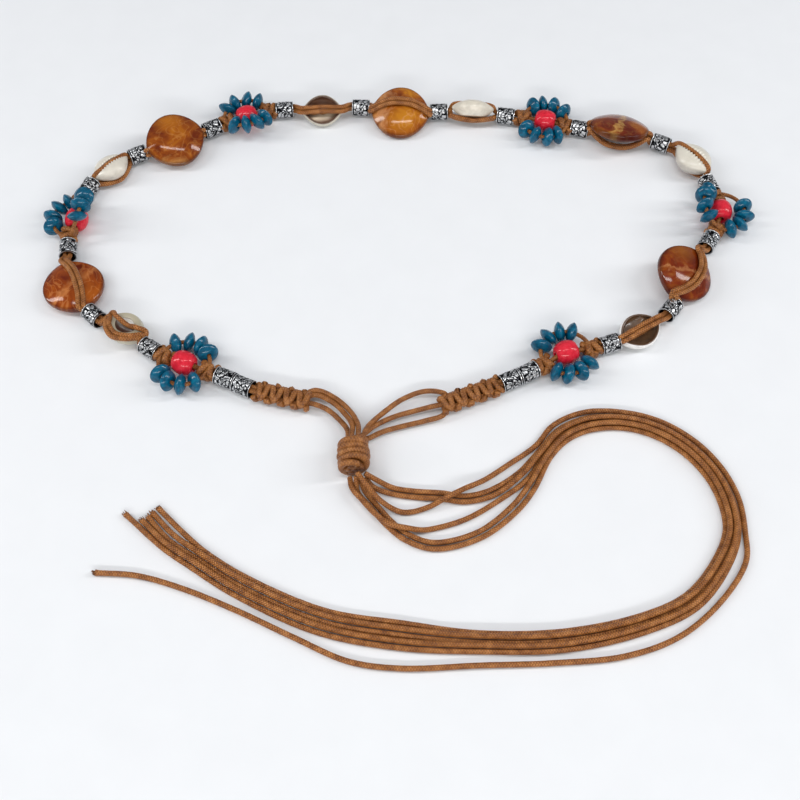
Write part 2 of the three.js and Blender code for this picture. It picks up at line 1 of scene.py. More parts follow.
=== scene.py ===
# %% [markdown]
# # A braided bead tie belt, laid down in a loop
# The belt is three strands of waxed cotton strung with bead flowers, marbled ovals, cowrie shells
# and metal tubes. Its ends are square-knot bands that meet in one tie knot, and six tails lie
# loose in front of it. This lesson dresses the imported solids: the soft and the carved pieces are
# built again in fine mesh, at the places that the solids hold.

# %% Load the frame
import math

import bpy
import numpy as np
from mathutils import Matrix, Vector


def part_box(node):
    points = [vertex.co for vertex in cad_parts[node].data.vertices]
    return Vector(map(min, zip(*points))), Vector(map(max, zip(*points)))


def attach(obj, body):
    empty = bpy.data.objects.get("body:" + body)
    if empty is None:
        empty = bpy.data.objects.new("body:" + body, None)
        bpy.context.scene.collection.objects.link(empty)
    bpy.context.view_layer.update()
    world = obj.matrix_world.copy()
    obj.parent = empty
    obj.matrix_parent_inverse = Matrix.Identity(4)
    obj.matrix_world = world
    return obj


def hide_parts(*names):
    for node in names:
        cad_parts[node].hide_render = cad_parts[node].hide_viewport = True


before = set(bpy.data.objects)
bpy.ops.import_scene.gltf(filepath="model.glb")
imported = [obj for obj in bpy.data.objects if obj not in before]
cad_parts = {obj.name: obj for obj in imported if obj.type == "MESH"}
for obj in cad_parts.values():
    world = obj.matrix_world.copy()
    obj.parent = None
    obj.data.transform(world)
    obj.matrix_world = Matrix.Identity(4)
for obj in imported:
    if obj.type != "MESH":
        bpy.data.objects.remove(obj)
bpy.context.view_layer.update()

scene = bpy.context.scene
print("nodes", len(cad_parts))

# %% [markdown]
# ## The stations round the loop
# A stringer plans a belt as a row of stations. The table gives each piece its middle in
# millimetres, the angle that its front looks at from outwards (0) through up (90), the side that
# the two outer strands pass (1 front, -1 back), and how far they slip across it or hang off it. A
# shell has its size, how deep its back is ground, and a dip where the core goes in and out of that
# window. A flower has the angles of its two strings of petals, and how far round they have slid.
# The same table made the solids, so every piece built from it lands on its node.

# %% Stations
TUBE = {"diameter": 7.0, "length": 7.4, "bore": 5.6, "axis": 3.55}
OVAL = {"length": 24.6, "width": 23.4, "thickness": 8.0, "rim": 2.6}
SHELL = {"length": 17.4, "width": 13.2, "front": 3.4, "back": 5.0, "groove": 3.4}
FLOWER_AXIS = 4.8
GAP = 0.3
CORD = 2.0
UP = np.array([0.0, 0.0, 1.0])


def at(kind, x, y, **more):
    return dict(kind=kind, x=x, y=y, **more)


STATIONS = [
    at("tube", -58.6, 3.9),
    at("tube", -65.6, 7.5),
    at("flower", -81.5, 13.5, arms=(0, 180), slide=(-7, 4)),
    at("tube", -95.2, 20.9),
    at("cowrie", -105.4, 29.6, z=4.4, face=270, pair=-1, slip=-6.4, size=1.0, cut=2.6, dip=1.0),
    at("tube", -118.9, 36.6),
    at("amber", -128.7, 50.4, z=4.0, face=90, pair=1, slip=-2.0, slack=0.0),
    at("tube", -133.9, 69.7),
    at("flower", -132.3, 84.6, arms=(3, 112), slide=(14, 14)),
    at("tube", -130.2, 102.5),
    at("cowrie", -121.8, 112.7, z=5.75, face=80, pair=-1, slip=-4.2, size=1.0, cut=3.0),
    at("tube", -111.8, 121.8),
    at("amber", -95.9, 126.6, z=7.3, face=108, pair=-1, slip=0.0, slack=0.0),
    at("tube", -81.5, 137.4),
    at("flower", -66.7, 143.5, arms=(0, 155), slide=(0, 0)),
    at("tube", -50.6, 148.7),
    at("cowrie", -34.0, 146.6, z=4.9, face=300, pair=-1, slip=0.0, size=1.05, cut=1.8),
    at("tube", -17.1, 150.1),
    at("amber", 0.2, 145.1, z=5.2, face=107, pair=1, slip=3.2, slack=0.0),
    at("tube", 17.0, 147.5),
    at("cowrie", 31.7, 146.1, z=7.0, face=35, pair=-1, slip=0.0, size=1.05, cut=3.8),
    at("tube", 46.2, 145.0),
    at("flower", 63.0, 140.8, arms=(0, 180), slide=(0, 0)),
    at("tube", 77.9, 137.2),
    at("amber", 94.0, 133.0, z=8.2, face=67, pair=-1, slip=-2.0, slack=2.6),
    at("tube", 112.1, 128.5),
    at("cowrie", 124.0, 117.2, z=6.2, face=84, pair=-1, slip=-2.0, size=1.12, cut=3.0),
    at("tube", 129.4, 104.0),
    at("flower", 131.8, 88.8, arms=(2, 143), slide=(22, 0)),
    at("tube", 125.0, 73.6),
    at("amber", 112.2, 54.9, z=6.6, face=64, pair=1, slip=4.4, slack=0.0),
    at("tube", 105.6, 39.6),
    at("cowrie", 92.0, 28.4, z=4.4, face=260, pair=-1, slip=0.0, size=1.08, cut=1.6),
    at("tube", 80.1, 23.2),
    at("flower", 63.1, 18.3, arms=(0, 180), slide=(6, 4)),
    at("tube", 48.1, 9.9),
    at("tube", 41.1, 6.4),
]
BANDS = {"left": ((-53.9, 2.0), (-33.8, -2.7)), "right": ((37.4, 4.7), (15.6, -4.4))}
print("stations", len(STATIONS))

# %% [markdown]
# ## From the table's millimetres to the row frame
# The table is measured from a point inside the loop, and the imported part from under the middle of
# its box. One tube is in both, so the difference of its two places is the shift for everything.

# %% Row frame
MM = 0.001
low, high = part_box("tube_01")
first_tube = [(low[k] + high[k]) / 2 / MM for k in (0, 1)]
SHIFT = np.array([first_tube[0] - STATIONS[0]["x"], first_tube[1] - STATIONS[0]["y"], 0])


def in_row(points):
    return (np.asarray(points, float) + SHIFT) * MM


def unit(vector):
    vector = np.asarray(vector, float)
    return vector / np.linalg.norm(vector)


def turn_to(first, second, angle):
    """The direction that a turn from the first towards the second reaches."""
    return np.multiply.outer(np.cos(angle), first) + np.multiply.outer(np.sin(angle), second)


print("shift", SHIFT.round(3))

# %% [markdown]
# ## The camera
# The photograph looks down at the belt from the front, about 57 degrees above the table, from
# under half a metre. A 54 mm lens on a 36 mm sensor gives its slight perspective.

# %% Camera
VIEW = {"rise": math.radians(57.5), "distance": 449.8, "lens": 54.0}
eye = VIEW["distance"] * np.array([0, -math.cos(VIEW["rise"]), math.sin(VIEW["rise"])])
camera = bpy.data.objects.new("camera", bpy.data.cameras.new("camera"))
camera.data.lens = VIEW["lens"]
camera.data.sensor_width = 36.0
camera.location = in_row(eye)
camera.rotation_euler = Vector(-eye).to_track_quat("-Z", "Y").to_euler()
scene.collection.objects.link(camera)
scene.camera = camera
print("camera at", [round(v, 4) for v in camera.location])

# %% [markdown]
# ## A smooth route through points
# A cord bends evenly, so its middle line is a curve and not a row of straight bits. A centripetal
# curve passes through every point without loops, and is then walked in equal steps, so the plait
# keeps its pitch.


# %% Routes
STEP = 0.5


def steps(path):
    return np.linalg.norm(np.diff(path[:, :3], axis=0), axis=1)


def walked(path):
    return np.concatenate([[0], np.cumsum(steps(path))])


def between(first, last, begin, stop, s):
    return (stop - s) / (stop - begin) * first + (s - begin) / (stop - begin) * last


def smooth(points, step=STEP):
    points = np.asarray(points, float)
    ends = np.vstack([2 * points[0] - points[1], points, 2 * points[-1] - points[-2]])
    fine = [points[:1]]
    for i in range(len(points) - 1):
        p = ends[i:i + 4]
        gaps = np.maximum(steps(p), 1e-4)
        t = np.concatenate([[0], np.cumsum(gaps ** 0.5)])
        count = max(2, int(np.linalg.norm(p[2, :3] - p[1, :3]) / step * 1.5))
        s = np.linspace(t[1], t[2], count + 1)[1:, None]
        a = [between(p[k], p[k + 1], t[k], t[k + 1], s) for k in range(3)]
        b = [between(a[k], a[k + 1], t[k], t[k + 2], s) for k in range(2)]
        fine.append(between(b[0], b[1], t[1], t[2], s))
    return even(np.vstack(fine), step)


def even(path, step):
    far = walked(path)
    stops = np.linspace(0, far[-1], max(3, int(round(far[-1] / step)) + 1))
    return np.column_stack([np.interp(stops, far, path[:, k]) for k in range(path.shape[1])])


# %% [markdown]
# ## Waxed braided cord
# The real cord is a tight round plait: bundles of cotton cross each other in diamonds, and wax
# makes their crowns shine. It could be a smooth tube with a bump only, but then its outline would
# be a pipe's. Here each ring of the tube swells and sinks with the plait, and the finish repeats
# the same sum for the colour and the fine bump, from the length and the turn kept as UV.

# %% The plait
PLAIT = {"bundles": 4, "lay": 3.8}
UV_STEP = 0.1


def plait_height(along, turn):
    a = PLAIT["bundles"] * (turn + along / PLAIT["lay"])
    b = PLAIT["bundles"] * (turn - along / PLAIT["lay"])
    over = (np.floor(a) + np.floor(b)) % 2 > 0.5
    ridge_a = np.sin(np.pi * (b % 1)) * (0.7 + 0.3 * np.sin(np.pi * (a % 1)))
    ridge_b = np.sin(np.pi * (a % 1)) * (0.7 + 0.3 * np.sin(np.pi * (b % 1)))
    return np.where(over, ridge_a, ridge_b)


class Skein:
    """Collects rings of mesh, in the table's millimetres, until they become one piece."""

    def __init__(self):
        self.points, self.faces, self.uvs, self.count = [], [], [], 0

    def add_rings(self, rings, uv, closed_ends=True):
        rows, around = rings.shape[:2]
        base = self.count
        self.points.append(rings.reshape(-1, 3))
        self.count += rows * around
        i, j = np.meshgrid(np.arange(rows - 1), np.arange(around), indexing="ij")
        k = (j + 1) % around
        quads = np.stack([i * around + j, i * around + k, (i + 1) * around + k, (i + 1) * around + j], -1)
        self.faces.extend(map(tuple, (quads.reshape(-1, 4) + base).tolist()))
        corners = np.stack([uv[i, j], uv[i, j + 1], uv[i + 1, j + 1], uv[i + 1, j]], 2)
        self.uvs.append(corners.reshape(-1, 2))
        if closed_ends:
            for row, order in ((0, -1), (rows - 1, 1)):
                middle = self.count
                self.points.append(rings[row].mean(axis=0)[None])
                self.count += 1
                for a in range(around):
                    b = (a + 1) % around
                    edge = (a, b) if order > 0 else (b, a)
                    self.faces.append((middle, base + row * around + edge[0], base + row * around + edge[1]))
                self.uvs.append(np.repeat(uv[row, :1], 3 * around, axis=0))

    def lay(self, path, diameter=CORD, sides=12, swell=0.06, flat=1.0, radii=None, start=0.0):
        """A cord along a path. flat squeezes its section, radii scale it at each ring."""
        ahead = np.gradient(path, axis=0)
        ahead /= np.linalg.norm(ahead, axis=1)[:, None]
        rows = [unit(np.cross(ahead[0], UP if abs(ahead[0][2]) < 0.9 else [1.0, 0, 0]))]
        for t in ahead[1:]:
            rows.append(unit(rows[-1] - t * np.dot(rows[-1], t)))
        normal = np.array(rows)
        binormal = np.cross(ahead, normal)
        turn = np.linspace(0, 1, sides + 1)
        along, around = np.meshgrid(start + walked(path), turn, indexing="ij")
        radius = diameter / 2 * (1 + swell * (plait_height(along, around) - 0.75))
        if radii is not None:
            radius = radius * np.asarray(radii)[:, None]
        angle = 2 * np.pi * around[:, :-1]
        radius = radius[:, :-1]
        rings = path[:, None] + (radius * np.cos(angle) * flat)[..., None] * normal[:, None]
        rings = rings + (radius * np.sin(angle))[..., None] * binormal[:, None]
        self.add_rings(rings, np.stack([along * UV_STEP, around], -1))

    def piece(self, name, finish, slot, *nodes):
        mesh = bpy.data.meshes.new(name)
        mesh.from_pydata(in_row(np.vstack(self.points)).tolist(), [], self.faces)
        layer = mesh.uv_layers.new(name="place")
        layer.data.foreach_set("uv", np.vstack(self.uvs).astype(np.float32).ravel())
        mesh.polygons.foreach_set("use_smooth", [True] * len(mesh.polygons))
        mesh.materials.append(finish)
        mesh.validate()
        mesh.update()
        made = bpy.data.objects.new(name, mesh)
        scene.collection.objects.link(made)
        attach(made, "root")
        if nodes:
            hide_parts(*nodes)
        return made


print("plait crown", plait_height(np.array([0.8]), np.array([0.0])).round(2))

# %% [markdown]
# ## A kit for finishes
# A finish is easier to read as sums than as boxes and wires. One small class wraps a socket and
# turns Python's operators into Math nodes. Colours are mixed by a Mix node, and every other node
# comes from one method that takes its type, its settings and its sockets. Colours are written as
# a painter reads them, red, green and blue from 0 to 255.


# %% Finish kit
class Sum:
    def __init__(self, finish, socket):
        self.finish, self.socket = finish, socket

    def do(self, operation, *others):
        values = {str(k + 1): v for k, v in enumerate(others)}
        node = self.finish.node("ShaderNodeMath", {"operation": operation}, {"0": self, **values})
        return Sum(self.finish, node.outputs[0])

    def swapped(self, operation, first):
        node = self.finish.node("ShaderNodeMath", {"operation": operation}, {"0": first, "1": self})
        return Sum(self.finish, node.outputs[0])

    def clamp(self):
        return self.do("MAXIMUM", 0.0).do("MINIMUM", 1.0)

    def __add__(self, other):
        return self.do("ADD", other)

    def __sub__(self, other):
        return self.do("SUBTRACT", other)

    def __mul__(self, other):
        return self.do("MULTIPLY", other)

    def __truediv__(self, other):
        return self.do("DIVIDE", other)

    def __rsub__(self, other):
        return self.swapped("SUBTRACT", other)

    def __rtruediv__(self, other):
        return self.swapped("DIVIDE", other)

    __radd__ = __add__
    __rmul__ = __mul__


class Finish:
    def __init__(self, name, **constants):
        self.material = bpy.data.materials.new(name)
        self.material.use_nodes = True
        self.tree = self.material.node_tree
        self.shader = self.tree.nodes["Principled BSDF"]
        for key, value in constants.items():
            self.shader.inputs[key.replace("_", " ")].default_value = value

    def node(self, kind, settings=None, sockets=None):
        made = self.tree.nodes.new(kind)
        for key, value in (settings or {}).items():
            if key == "stops":
                ramp = made.color_ramp
                while len(ramp.elements) < len(value):
                    ramp.elements.new(0.5)
                for element, (place, colour) in zip(ramp.elements, value):
                    element.position = place
                    element.color = light(colour)
            else:
                setattr(made, key, value)
        for key, value in (sockets or {}).items():
            self.feed(made.inputs[int(key)] if key.isdigit() else made.inputs[key], value)
        return made

    def feed(self, socket, value):
        if isinstance(value, Sum):
            value = value.socket
        if isinstance(value, bpy.types.NodeSocket):
            self.tree.links.new(value, socket)
        else:
            socket.default_value = light(value) if isinstance(value, (tuple, list)) else value

    def place(self):
        kept = self.node("ShaderNodeUVMap", {"uv_map": "place"}).outputs[0]
        split = self.node("ShaderNodeSeparateXYZ", {}, {"0": kept})
        return Sum(self, split.outputs[0]), Sum(self, split.outputs[1])

    def noise(self, scale, detail=3.0, rough=0.5, vector=None, warp=0.0):
        vector = vector or self.node("ShaderNodeTexCoord").outputs["Object"]
        made = self.node("ShaderNodeTexNoise", {}, {
            "Vector": vector, "Scale": scale, "Detail": detail, "Roughness": rough, "Distortion": warp})
        return Sum(self, made.outputs[0])

    def ramp(self, value, *stops):
        return self.node("ShaderNodeValToRGB", {"stops": stops}, {"0": value}).outputs[0]

    def mix(self, factor, first, second):
        """Output 2 is the colour result, and 6 and 7 are its two colours."""
        sockets = {"0": factor, "6": first, "7": second}
        return self.node("ShaderNodeMix", {"data_type": "RGBA"}, sockets).outputs[2]

    def bump(self, height, distance, strength=1.0):
        made = self.node("ShaderNodeBump", {}, {"Height": height, "Distance": distance, "Strength": strength})
        self.feed(self.shader.inputs["Normal"], made.outputs[0])

    def use(self, **links):
        for key, value in links.items():
            self.feed(self.shader.inputs[key.replace("_", " ")], value)
        return self.material


def light(colour):
    """A colour as a painter reads it from 0 to 255, as the linear light that the shader takes."""
    parts = [v / 255 for v in colour]
    return (*(v / 12.92 if v <= 0.04045 else ((v + 0.055) / 1.055) ** 2.4 for v in parts), 1.0)


# %% [markdown]
# ## The cord's finish
# Tan cotton, patchy because the wax has soaked in unevenly, with a faint plait and a soft shine.
# The plait's height drives the colour, the roughness and the bump together; in the colour it is
# painted shade in the creases and painted highlight on the crowns. In the knots the cord is pulled
# tight and the plait hardly shows, so their finish has less of it, and it is painted a little
# darker there as painted shade in the knots.


# %% Waxed cotton
TANS = [(0.0, (58, 28, 10)), (0.3, (120, 68, 28)), (0.6, (176, 112, 54)), (1.0, (228, 168, 106))]


def waxed_cotton(name, shade=1.0, plait=1.0):
    paint = Finish(name, Specular_IOR_Level=0.4)
    u, v = paint.place()
    along = u * (1 / UV_STEP)
    a = (v + along / PLAIT["lay"]) * PLAIT["bundles"]
    b = (v - along / PLAIT["lay"]) * PLAIT["bundles"]
    over = (a.do("FLOOR") + b.do("FLOOR")).do("FLOORED_MODULO", 2.0)
    in_a, in_b = (a.do("FRACT") * math.pi).do("SINE"), (b.do("FRACT") * math.pi).do("SINE")
    ridge = over * (in_b * (in_a * 0.3 + 0.7)) + (1.0 - over) * (in_a * (in_b * 0.3 + 0.7))
    fibre = paint.noise(2600.0, 2.0)
    patch = paint.noise(420.0, 3.0)
    height = ridge * plait + (fibre - 0.5) * 0.5
    # The plait term of the tone is painted shade in the creases and painted highlight on the crowns.
    tone = ridge * (0.45 * plait) + fibre * 0.3 + (patch - 0.5) * 0.8 + (0.06 + 0.3 * (1 - plait))
    # A shade below 1 darkens the whole colour, as painted shade.
    colour = paint.ramp(tone, *[(place, [c * shade for c in tan]) for place, tan in TANS])
    paint.bump(height, 0.0003, 0.8)
    return paint.use(Base_Color=colour, Roughness=0.5 - ridge * 0.1)


COTTON = waxed_cotton("waxed_cotton")
# The knots' copy is painted 8 % darker, as painted shade in the knots.
KNOT_COTTON_SHADED = waxed_cotton("waxed_cotton_knots_shaded", 0.92, 0.6)
print("finishes", [m.name for m in bpy.data.materials])

# %% [markdown]
# ## The six tails
# Six free cords leave the tie knot, run to the right, turn back and end in front of the loop. Each
# has a first stretch of its own, a lane in the shared bundle, and a last stretch. They lie on the
# table all the way, apart from where two cross. The ends are cut, dark, and fray a little.

# %% Tails
BUNDLE = [
    (51.5, -23.5, 1.05), (59.0, -14.8, 1.15), (69.0, -10.0, 1.15), (81.8, -9.4, 1.0), (94.3, -13.0, 1.0),
    (105.6, -21.2, 1.0), (113.2, -31.8, 1.0), (117.0, -43.4, 1.0), (117.2, -55.2, 1.0), (111.8, -67.8, 1.1),
    (99.6, -82.2, 1.2), (82.0, -90.6, 1.25), (55.0, -96.8, 1.4), (26.0, -97.4, 1.4), (0.0, -95.6, 1.9),
    (-27.0, -90.4, 1.75), (-54.8, -77.6, 1.6), (-71.4, -66.8, 1.6),
]
PARTING = 9
FRAY = {"hairs": 12, "thick": 0.26, "flare": 0.16}
TAILS = [
    dict(lane=0.5, upper=False,
         start=[(-12.5, -34.9, 6.3), (-9.1, -36.0, 4.4), (-2.5, -38.0, 1.3), (5.7, -39.3),
                (14.5, -39.9), (23.6, -41.1), (32.2, -38.8), (42.4, -32.0)],
         finish=[(-82.3, -61.4), (-96.6, -48.5)]),
    dict(lane=0.0, upper=True,
         start=[(-12.5, -34.9, 3.6), (-9.6, -37.8, 1.8), (-2.5, -40.4), (5.7, -41.7),
                (14.5, -42.3), (23.0, -43.5), (33.1, -41.0, 1.1), (43.6, -33.3, 2.7)],
         finish=[(-81.3, -60.1, 2.5), (-90.6, -50.8)]),
    dict(lane=1.5, upper=False,
         start=[(-15.2, -34.9, 7.0), (-12.0, -38.8, 5.3), (-6.2, -44.4, 2.6), (1.0, -47.6),
                (9.8, -46.0, 1.6), (16.5, -42.9, 3.5), (23.0, -39.4, 3.5), (30.0, -35.2, 1.8),
                (38.6, -28.8)],
         finish=[(119.2, -66.4), (108.8, -81.0), (93.0, -93.8), (74.4, -100.6),
                 (50.0, -103.0), (26.0, -103.8), (0.0, -104.8), (-17.0, -102.4),
                 (-36.0, -93.8), (-55.0, -84.6), (-74.1, -76.6), (-90.0, -71.9),
                 (-104.3, -70.8)]),
    dict(lane=-0.5, upper=False,
         start=[(-17.9, -34.9, 3.2), (-17.0, -39.2, 3.4), (-13.0, -44.4, 3.4), (-8.4, -49.8, 3.6),
                (-3.2, -53.6, 3.6), (2.4, -54.9, 3.4), (9.0, -54.6, 1.2), (22.6, -50.6),
                (35.0, -43.0), (45.4, -34.6)],
         finish=[(-80.2, -58.7), (-88.6, -49.6)]),
    dict(lane=-1.5, upper=False,
         start=[(-15.6, -34.9, 4.4), (-15.2, -39.6, 1.5), (-10.8, -45.2), (-5.0, -52.4),
                (1.2, -58.0), (9.6, -61.6), (17.6, -61.3), (30.0, -56.6),
                (42.0, -46.4), (48.0, -38.2)],
         finish=[(-77.0, -54.4), (-85.2, -46.2)]),
    dict(lane=-1.0, upper=True,
         start=[(-14.3, -34.9, 1.6), (-12.2, -39.6), (-8.4, -44.6), (-3.0, -51.2),
                (2.8, -56.2), (10.0, -59.2), (17.0, -58.9), (28.6, -54.6),
                (40.2, -44.6), (46.6, -36.2, 1.9)],
         finish=[(-78.7, -56.7, 1.2), (-87.2, -47.9)]),
]


def lying(points):
    """A point without a height lies on the table."""
    return [(*point, CORD / 2)[:3] for point in points]


def tail_points(tail):
    pitch = CORD + GAP
    stations = BUNDLE[:PARTING] if len(tail["finish"]) > 2 else BUNDLE
    shared = []
    for i, (x, y, spread) in enumerate(stations):
        before = BUNDLE[i - 1][:2] if i else tail["start"][-1][:2]
        after = BUNDLE[i + 1][:2] if i + 1 < len(BUNDLE) else tail["finish"][0][:2]
        travel = unit([after[0] - before[0], after[1] - before[1], 0])
        outward = np.cross(UP, travel)
        rise = math.sqrt(max(0.0, pitch ** 2 - (pitch * spread / 2) ** 2)) if tail["upper"] else 0.0
        shared.append(np.array([x, y, CORD / 2 + rise]) + outward * tail["lane"] * pitch * spread)
    return [*lying(tail["start"]), *shared, *lying(tail["finish"])]


def fray(cord, end, ahead, number):
    """A few loose cotton hairs at a cut end."""
    for k in range(FRAY["hairs"]):
        turn = 2.4 * k + number
        sideways = turn_to([-ahead[1], ahead[0], 0], UP, turn)
        root = end + sideways * (0.25 + 0.6 * (k % 4) / 4)
        tip = root + ahead * (0.6 + 0.35 * (k % 3)) + sideways * 0.35
        root[2], tip[2] = max(root[2], 0.25), max(tip[2], 0.2)
        cord.lay(even(np.array([root - ahead * 0.4, tip]), 0.5), FRAY["thick"], 5, 0.0)


def lay_tail(number, tail):
    path = smooth(tail_points(tail))
    path[:, 2] = np.maximum(path[:, 2], CORD / 2 * 1.04)
    cord = Skein()
    to_end = np.linspace(len(path) - 1, 0, len(path)) * STEP
    cord.lay(path, radii=1 + FRAY["flare"] * np.exp(-(to_end / 0.9) ** 2))
    fray(cord, path[-1], unit(path[-1] - path[-3]), number)
    made = cord.piece(f"tail_cord_{number}", COTTON, "waxed_cotton", f"tail_{number}")
    route = in_row(path)
    length = float(steps(route).sum())
    return length


for number, tail in enumerate(TAILS, 1):
    print("tail", number, "length", round(lay_tail(number, tail), 3), "m")

# %% [markdown]
# ## Each station's own frame
# A piece on a string turns about the string, so its place needs three directions: travel along
# the string, the look of its front, and across. Inside a tube the outer pair of strands lies
# towards the side that it passes on the neighbours.


# %% Station frames
def look_along(piece, degrees):
    return turn_to(piece["outward"], UP, math.radians(degrees))


for i, piece in enumerate(STATIONS):
    before = (STATIONS[i - 1]["x"], STATIONS[i - 1]["y"]) if i else BANDS["left"][0]
    after = (STATIONS[i + 1]["x"], STATIONS[i + 1]["y"]) if i + 1 < len(STATIONS) else BANDS["right"][0]
    resting = {"tube": TUBE["axis"], "flower": FLOWER_AXIS}.get(piece["kind"])
    piece["middle"] = np.array([piece["x"], piece["y"], piece.get("z", resting)])
    piece["travel"] = unit([after[0] - before[0], after[1] - before[1], 0])
    piece["outward"] = np.cross(UP, piece["travel"])
    piece["look"] = look_along(piece, piece.get("face", 90))
    piece["across"] = np.cross(piece["look"], piece["travel"])

for i, piece in enumerate(STATIONS):
    if piece["kind"] == "tube":
        near = [STATIONS[k] for k in (i - 1, i + 1) if 0 <= k < len(STATIONS) and STATIONS[k].get("pair")]
        lean = sum((n["look"] * n["pair"] for n in near), np.zeros(3))
        lean = UP.copy() if np.linalg.norm(lean) < GAP else lean
        piece["look"] = unit(lean - piece["travel"] * np.dot(lean, piece["travel"]))
        piece["across"] = np.cross(piece["look"], piece["travel"])


def on(piece, along, across, front):
    return piece["middle"] + piece["travel"] * along + piece["across"] * across + piece["look"] * front


def numbered(kind):
    return list(enumerate([p for p in STATIONS if p["kind"] == kind], 1))


print({kind: len(numbered(kind)) for kind in ("tube", "flower", "amber", "cowrie")})

# %% [markdown]
# ## The strands between the flowers
# Between two flowers run one core cord, threaded through every tube, oval and shell, and a pair
# of outer cords that go through the tubes but pass over or under the other pieces. Each station
# gives the points where they pass it, and the pair keeps side by side.

# %% Spans
IN_TUBE = {"core_drop": 1.1, "pair_rise": 1.0, "together": 0.7, "mouth": TUBE["length"] / 2 + 0.7}
AT_AMBER = {"core": (-0.53, 0.53), "pair": (-0.52, -0.36, -0.16, 0.16, 0.36, 0.52)}
AT_COWRIE = {"core": (-0.45, 0.45), "pair": (-0.48, 0.0, 0.48), "dipped": (-0.48, -0.28, 0.0, 0.28, 0.48),
             "beside": (2.4, 1.0, 1.0, 1.0, 2.4), "end_drop": 0.65, "pair_drop": 0.3}
CLEAR = CORD / 2 + GAP + 0.05
LANE = 1.0


def oval_thickness(share):
    return OVAL["rim"] + (OVAL["thickness"] - OVAL["rim"]) * (1 - share ** 2.4)


def over_end(share):
    return 1 - AT_COWRIE["end_drop"] * (2 * share) ** 4


def core_points(piece):
    if piece["kind"] == "tube":
        return [on(piece, s * IN_TUBE["mouth"], 0, -IN_TUBE["core_drop"]) for s in (-1, 1)]
    if piece["kind"] == "amber":
        return [on(piece, s * OVAL["length"], 0, 0) for s in AT_AMBER["core"]]
    step = piece["size"] * SHELL["length"]
    if piece.get("dip"):
        window = piece["size"] * piece["cut"]
        shares = AT_COWRIE["dipped"]
        rises = [piece["dip"] - window if s == 0 else -(window + CLEAR) * over_end(s) for s in shares]
        passes = zip(shares, AT_COWRIE["beside"], rises)
        return [on(piece, s * step, beside, rise) for s, beside, rise in passes]
    in_slit = piece["size"] * (SHELL["front"] - SHELL["groove"] + CORD / 2 + GAP)
    return [on(piece, s * step, 0, in_slit) for s in AT_COWRIE["core"]]


def pair_points(piece):
    if piece["kind"] == "tube":
        return [on(piece, s * IN_TUBE["mouth"], 0, IN_TUBE["pair_rise"]) for s in (-1, 1)]
    if piece["kind"] == "amber":
        rows = []
        for s in AT_AMBER["pair"]:
            surface = oval_thickness(min(1.0, abs(2 * s))) / 2
            middle = 1 - (2 * s) ** 2
            rise = surface + CLEAR - 0.25 + piece["slack"] * middle
            rows.append(on(piece, s * OVAL["length"], piece["slip"] * middle, piece["pair"] * rise))
        return rows
    rise = piece["pair"] * (piece["size"] * piece["cut"] + CLEAR - 0.2)
    step = piece["size"] * SHELL["length"]
    dips = bool(piece.get("dip"))
    rows = []
    for s in AT_COWRIE["dipped" if dips else "pair"]:
        share = over_end(s) if dips else 1 - AT_COWRIE["pair_drop"] * (2 * s) ** 4
        rows.append(on(piece, s * step, piece["slip"] * (1 - (2 * s) ** 2), rise * share))
    return rows


def pair_side(piece):
    return -piece["across"] if np.dot(piece["across"], piece["outward"]) < 0 else piece["across"]


def lay_span(number, pieces):
    span = Skein()
    core = [p for piece in pieces for p in core_points(piece)]
    outer = [np.concatenate([p, pair_side(piece)]) for piece in pieces for p in pair_points(piece)]
    for piece, side, place in ((pieces[0], -1, 0), (pieces[-1], 1, -1)):
        core[place] = on(piece, side * TUBE["length"] / 2, 0, -IN_TUBE["together"])
        outer[place][:3] = on(piece, side * TUBE["length"] / 2, 0, IN_TUBE["together"])
    span.lay(smooth(core))
    middle = smooth(outer)
    side = middle[:, 3:] / np.linalg.norm(middle[:, 3:], axis=1)[:, None]
    for lane, start in ((-LANE, 0.0), (LANE, 0.9)):
        span.lay(middle[:, :3] + side * lane, CORD * 0.96, start=start)
    span.piece(f"span_cords_{number}", COTTON, "waxed_cotton", f"cord_span_{number}")


flower_at = [i for i, p in enumerate(STATIONS) if p["kind"] == "flower"]
for number, (a, b) in enumerate(zip(flower_at, flower_at[1:]), 1):
    lay_span(number, STATIONS[a + 1:b])
print("spans", len(flower_at) - 1)

# %% [markdown]
# ## Square knots
# In a square knot two working cords pass over and under the still core, first from one side and
# then from the other. The front cord shows as a bar across the band, two bars to a knot, and the
# back cord comes round at the edge as a bump between them. Both are waves: across the band they
# swing from edge to edge, and in depth the one crosses above and the other below.


# %% Square knots
def square_knots(skein, start, end, halves, width, height, cord):
    start, end = np.asarray(start, float), np.asarray(end, float)
    travel = unit(end - start)
    across = unit(np.cross(UP, travel))
    top = np.cross(travel, across)
    reach = (width - cord) / 2
    rise = (height - cord) / 2
    s = np.linspace(0, halves, halves * 18 + 1)
    paired = s + 0.16 * np.sin(np.pi * s) * np.where(np.floor(s) % 2 > 0.5, -1, 1)
    swing = np.tanh(1.7 * np.cos(np.pi * s)) / math.tanh(1.7)
    crossing = np.abs(np.sin(np.pi * s)) ** 0.8
    for side, depth, edge, wide in ((1, 1, -0.2, 0.78), (-1, -1, 0.7, 1.0)):
        z = depth * rise * crossing + edge * (1 - crossing) * rise
        along = paired / halves * np.linalg.norm(end - start)
        path = start + np.outer(along, travel) + np.outer(side * wide * reach * swing, across)
        path = path + np.outer(z, top)
        skein.lay(even(path, 0.45), cord, 10, start=0.4 * side)
    for lane in (-0.3, 0.3):
        core = np.array([start + across * lane * reach * 2, end + across * lane * reach * 2])
        skein.lay(even(core, 0.6), min(2 * rise, 1.9), 8)


SIDE_KNOT = {"away": 3.1, "half": 3.0, "halves": 2, "width": 7.6, "height": 6.4, "cord": 2.5}


def side_knot_place(tube, side):
    return on(tube, side * (TUBE["length"] / 2 + GAP + SIDE_KNOT["away"]), 0, 0)


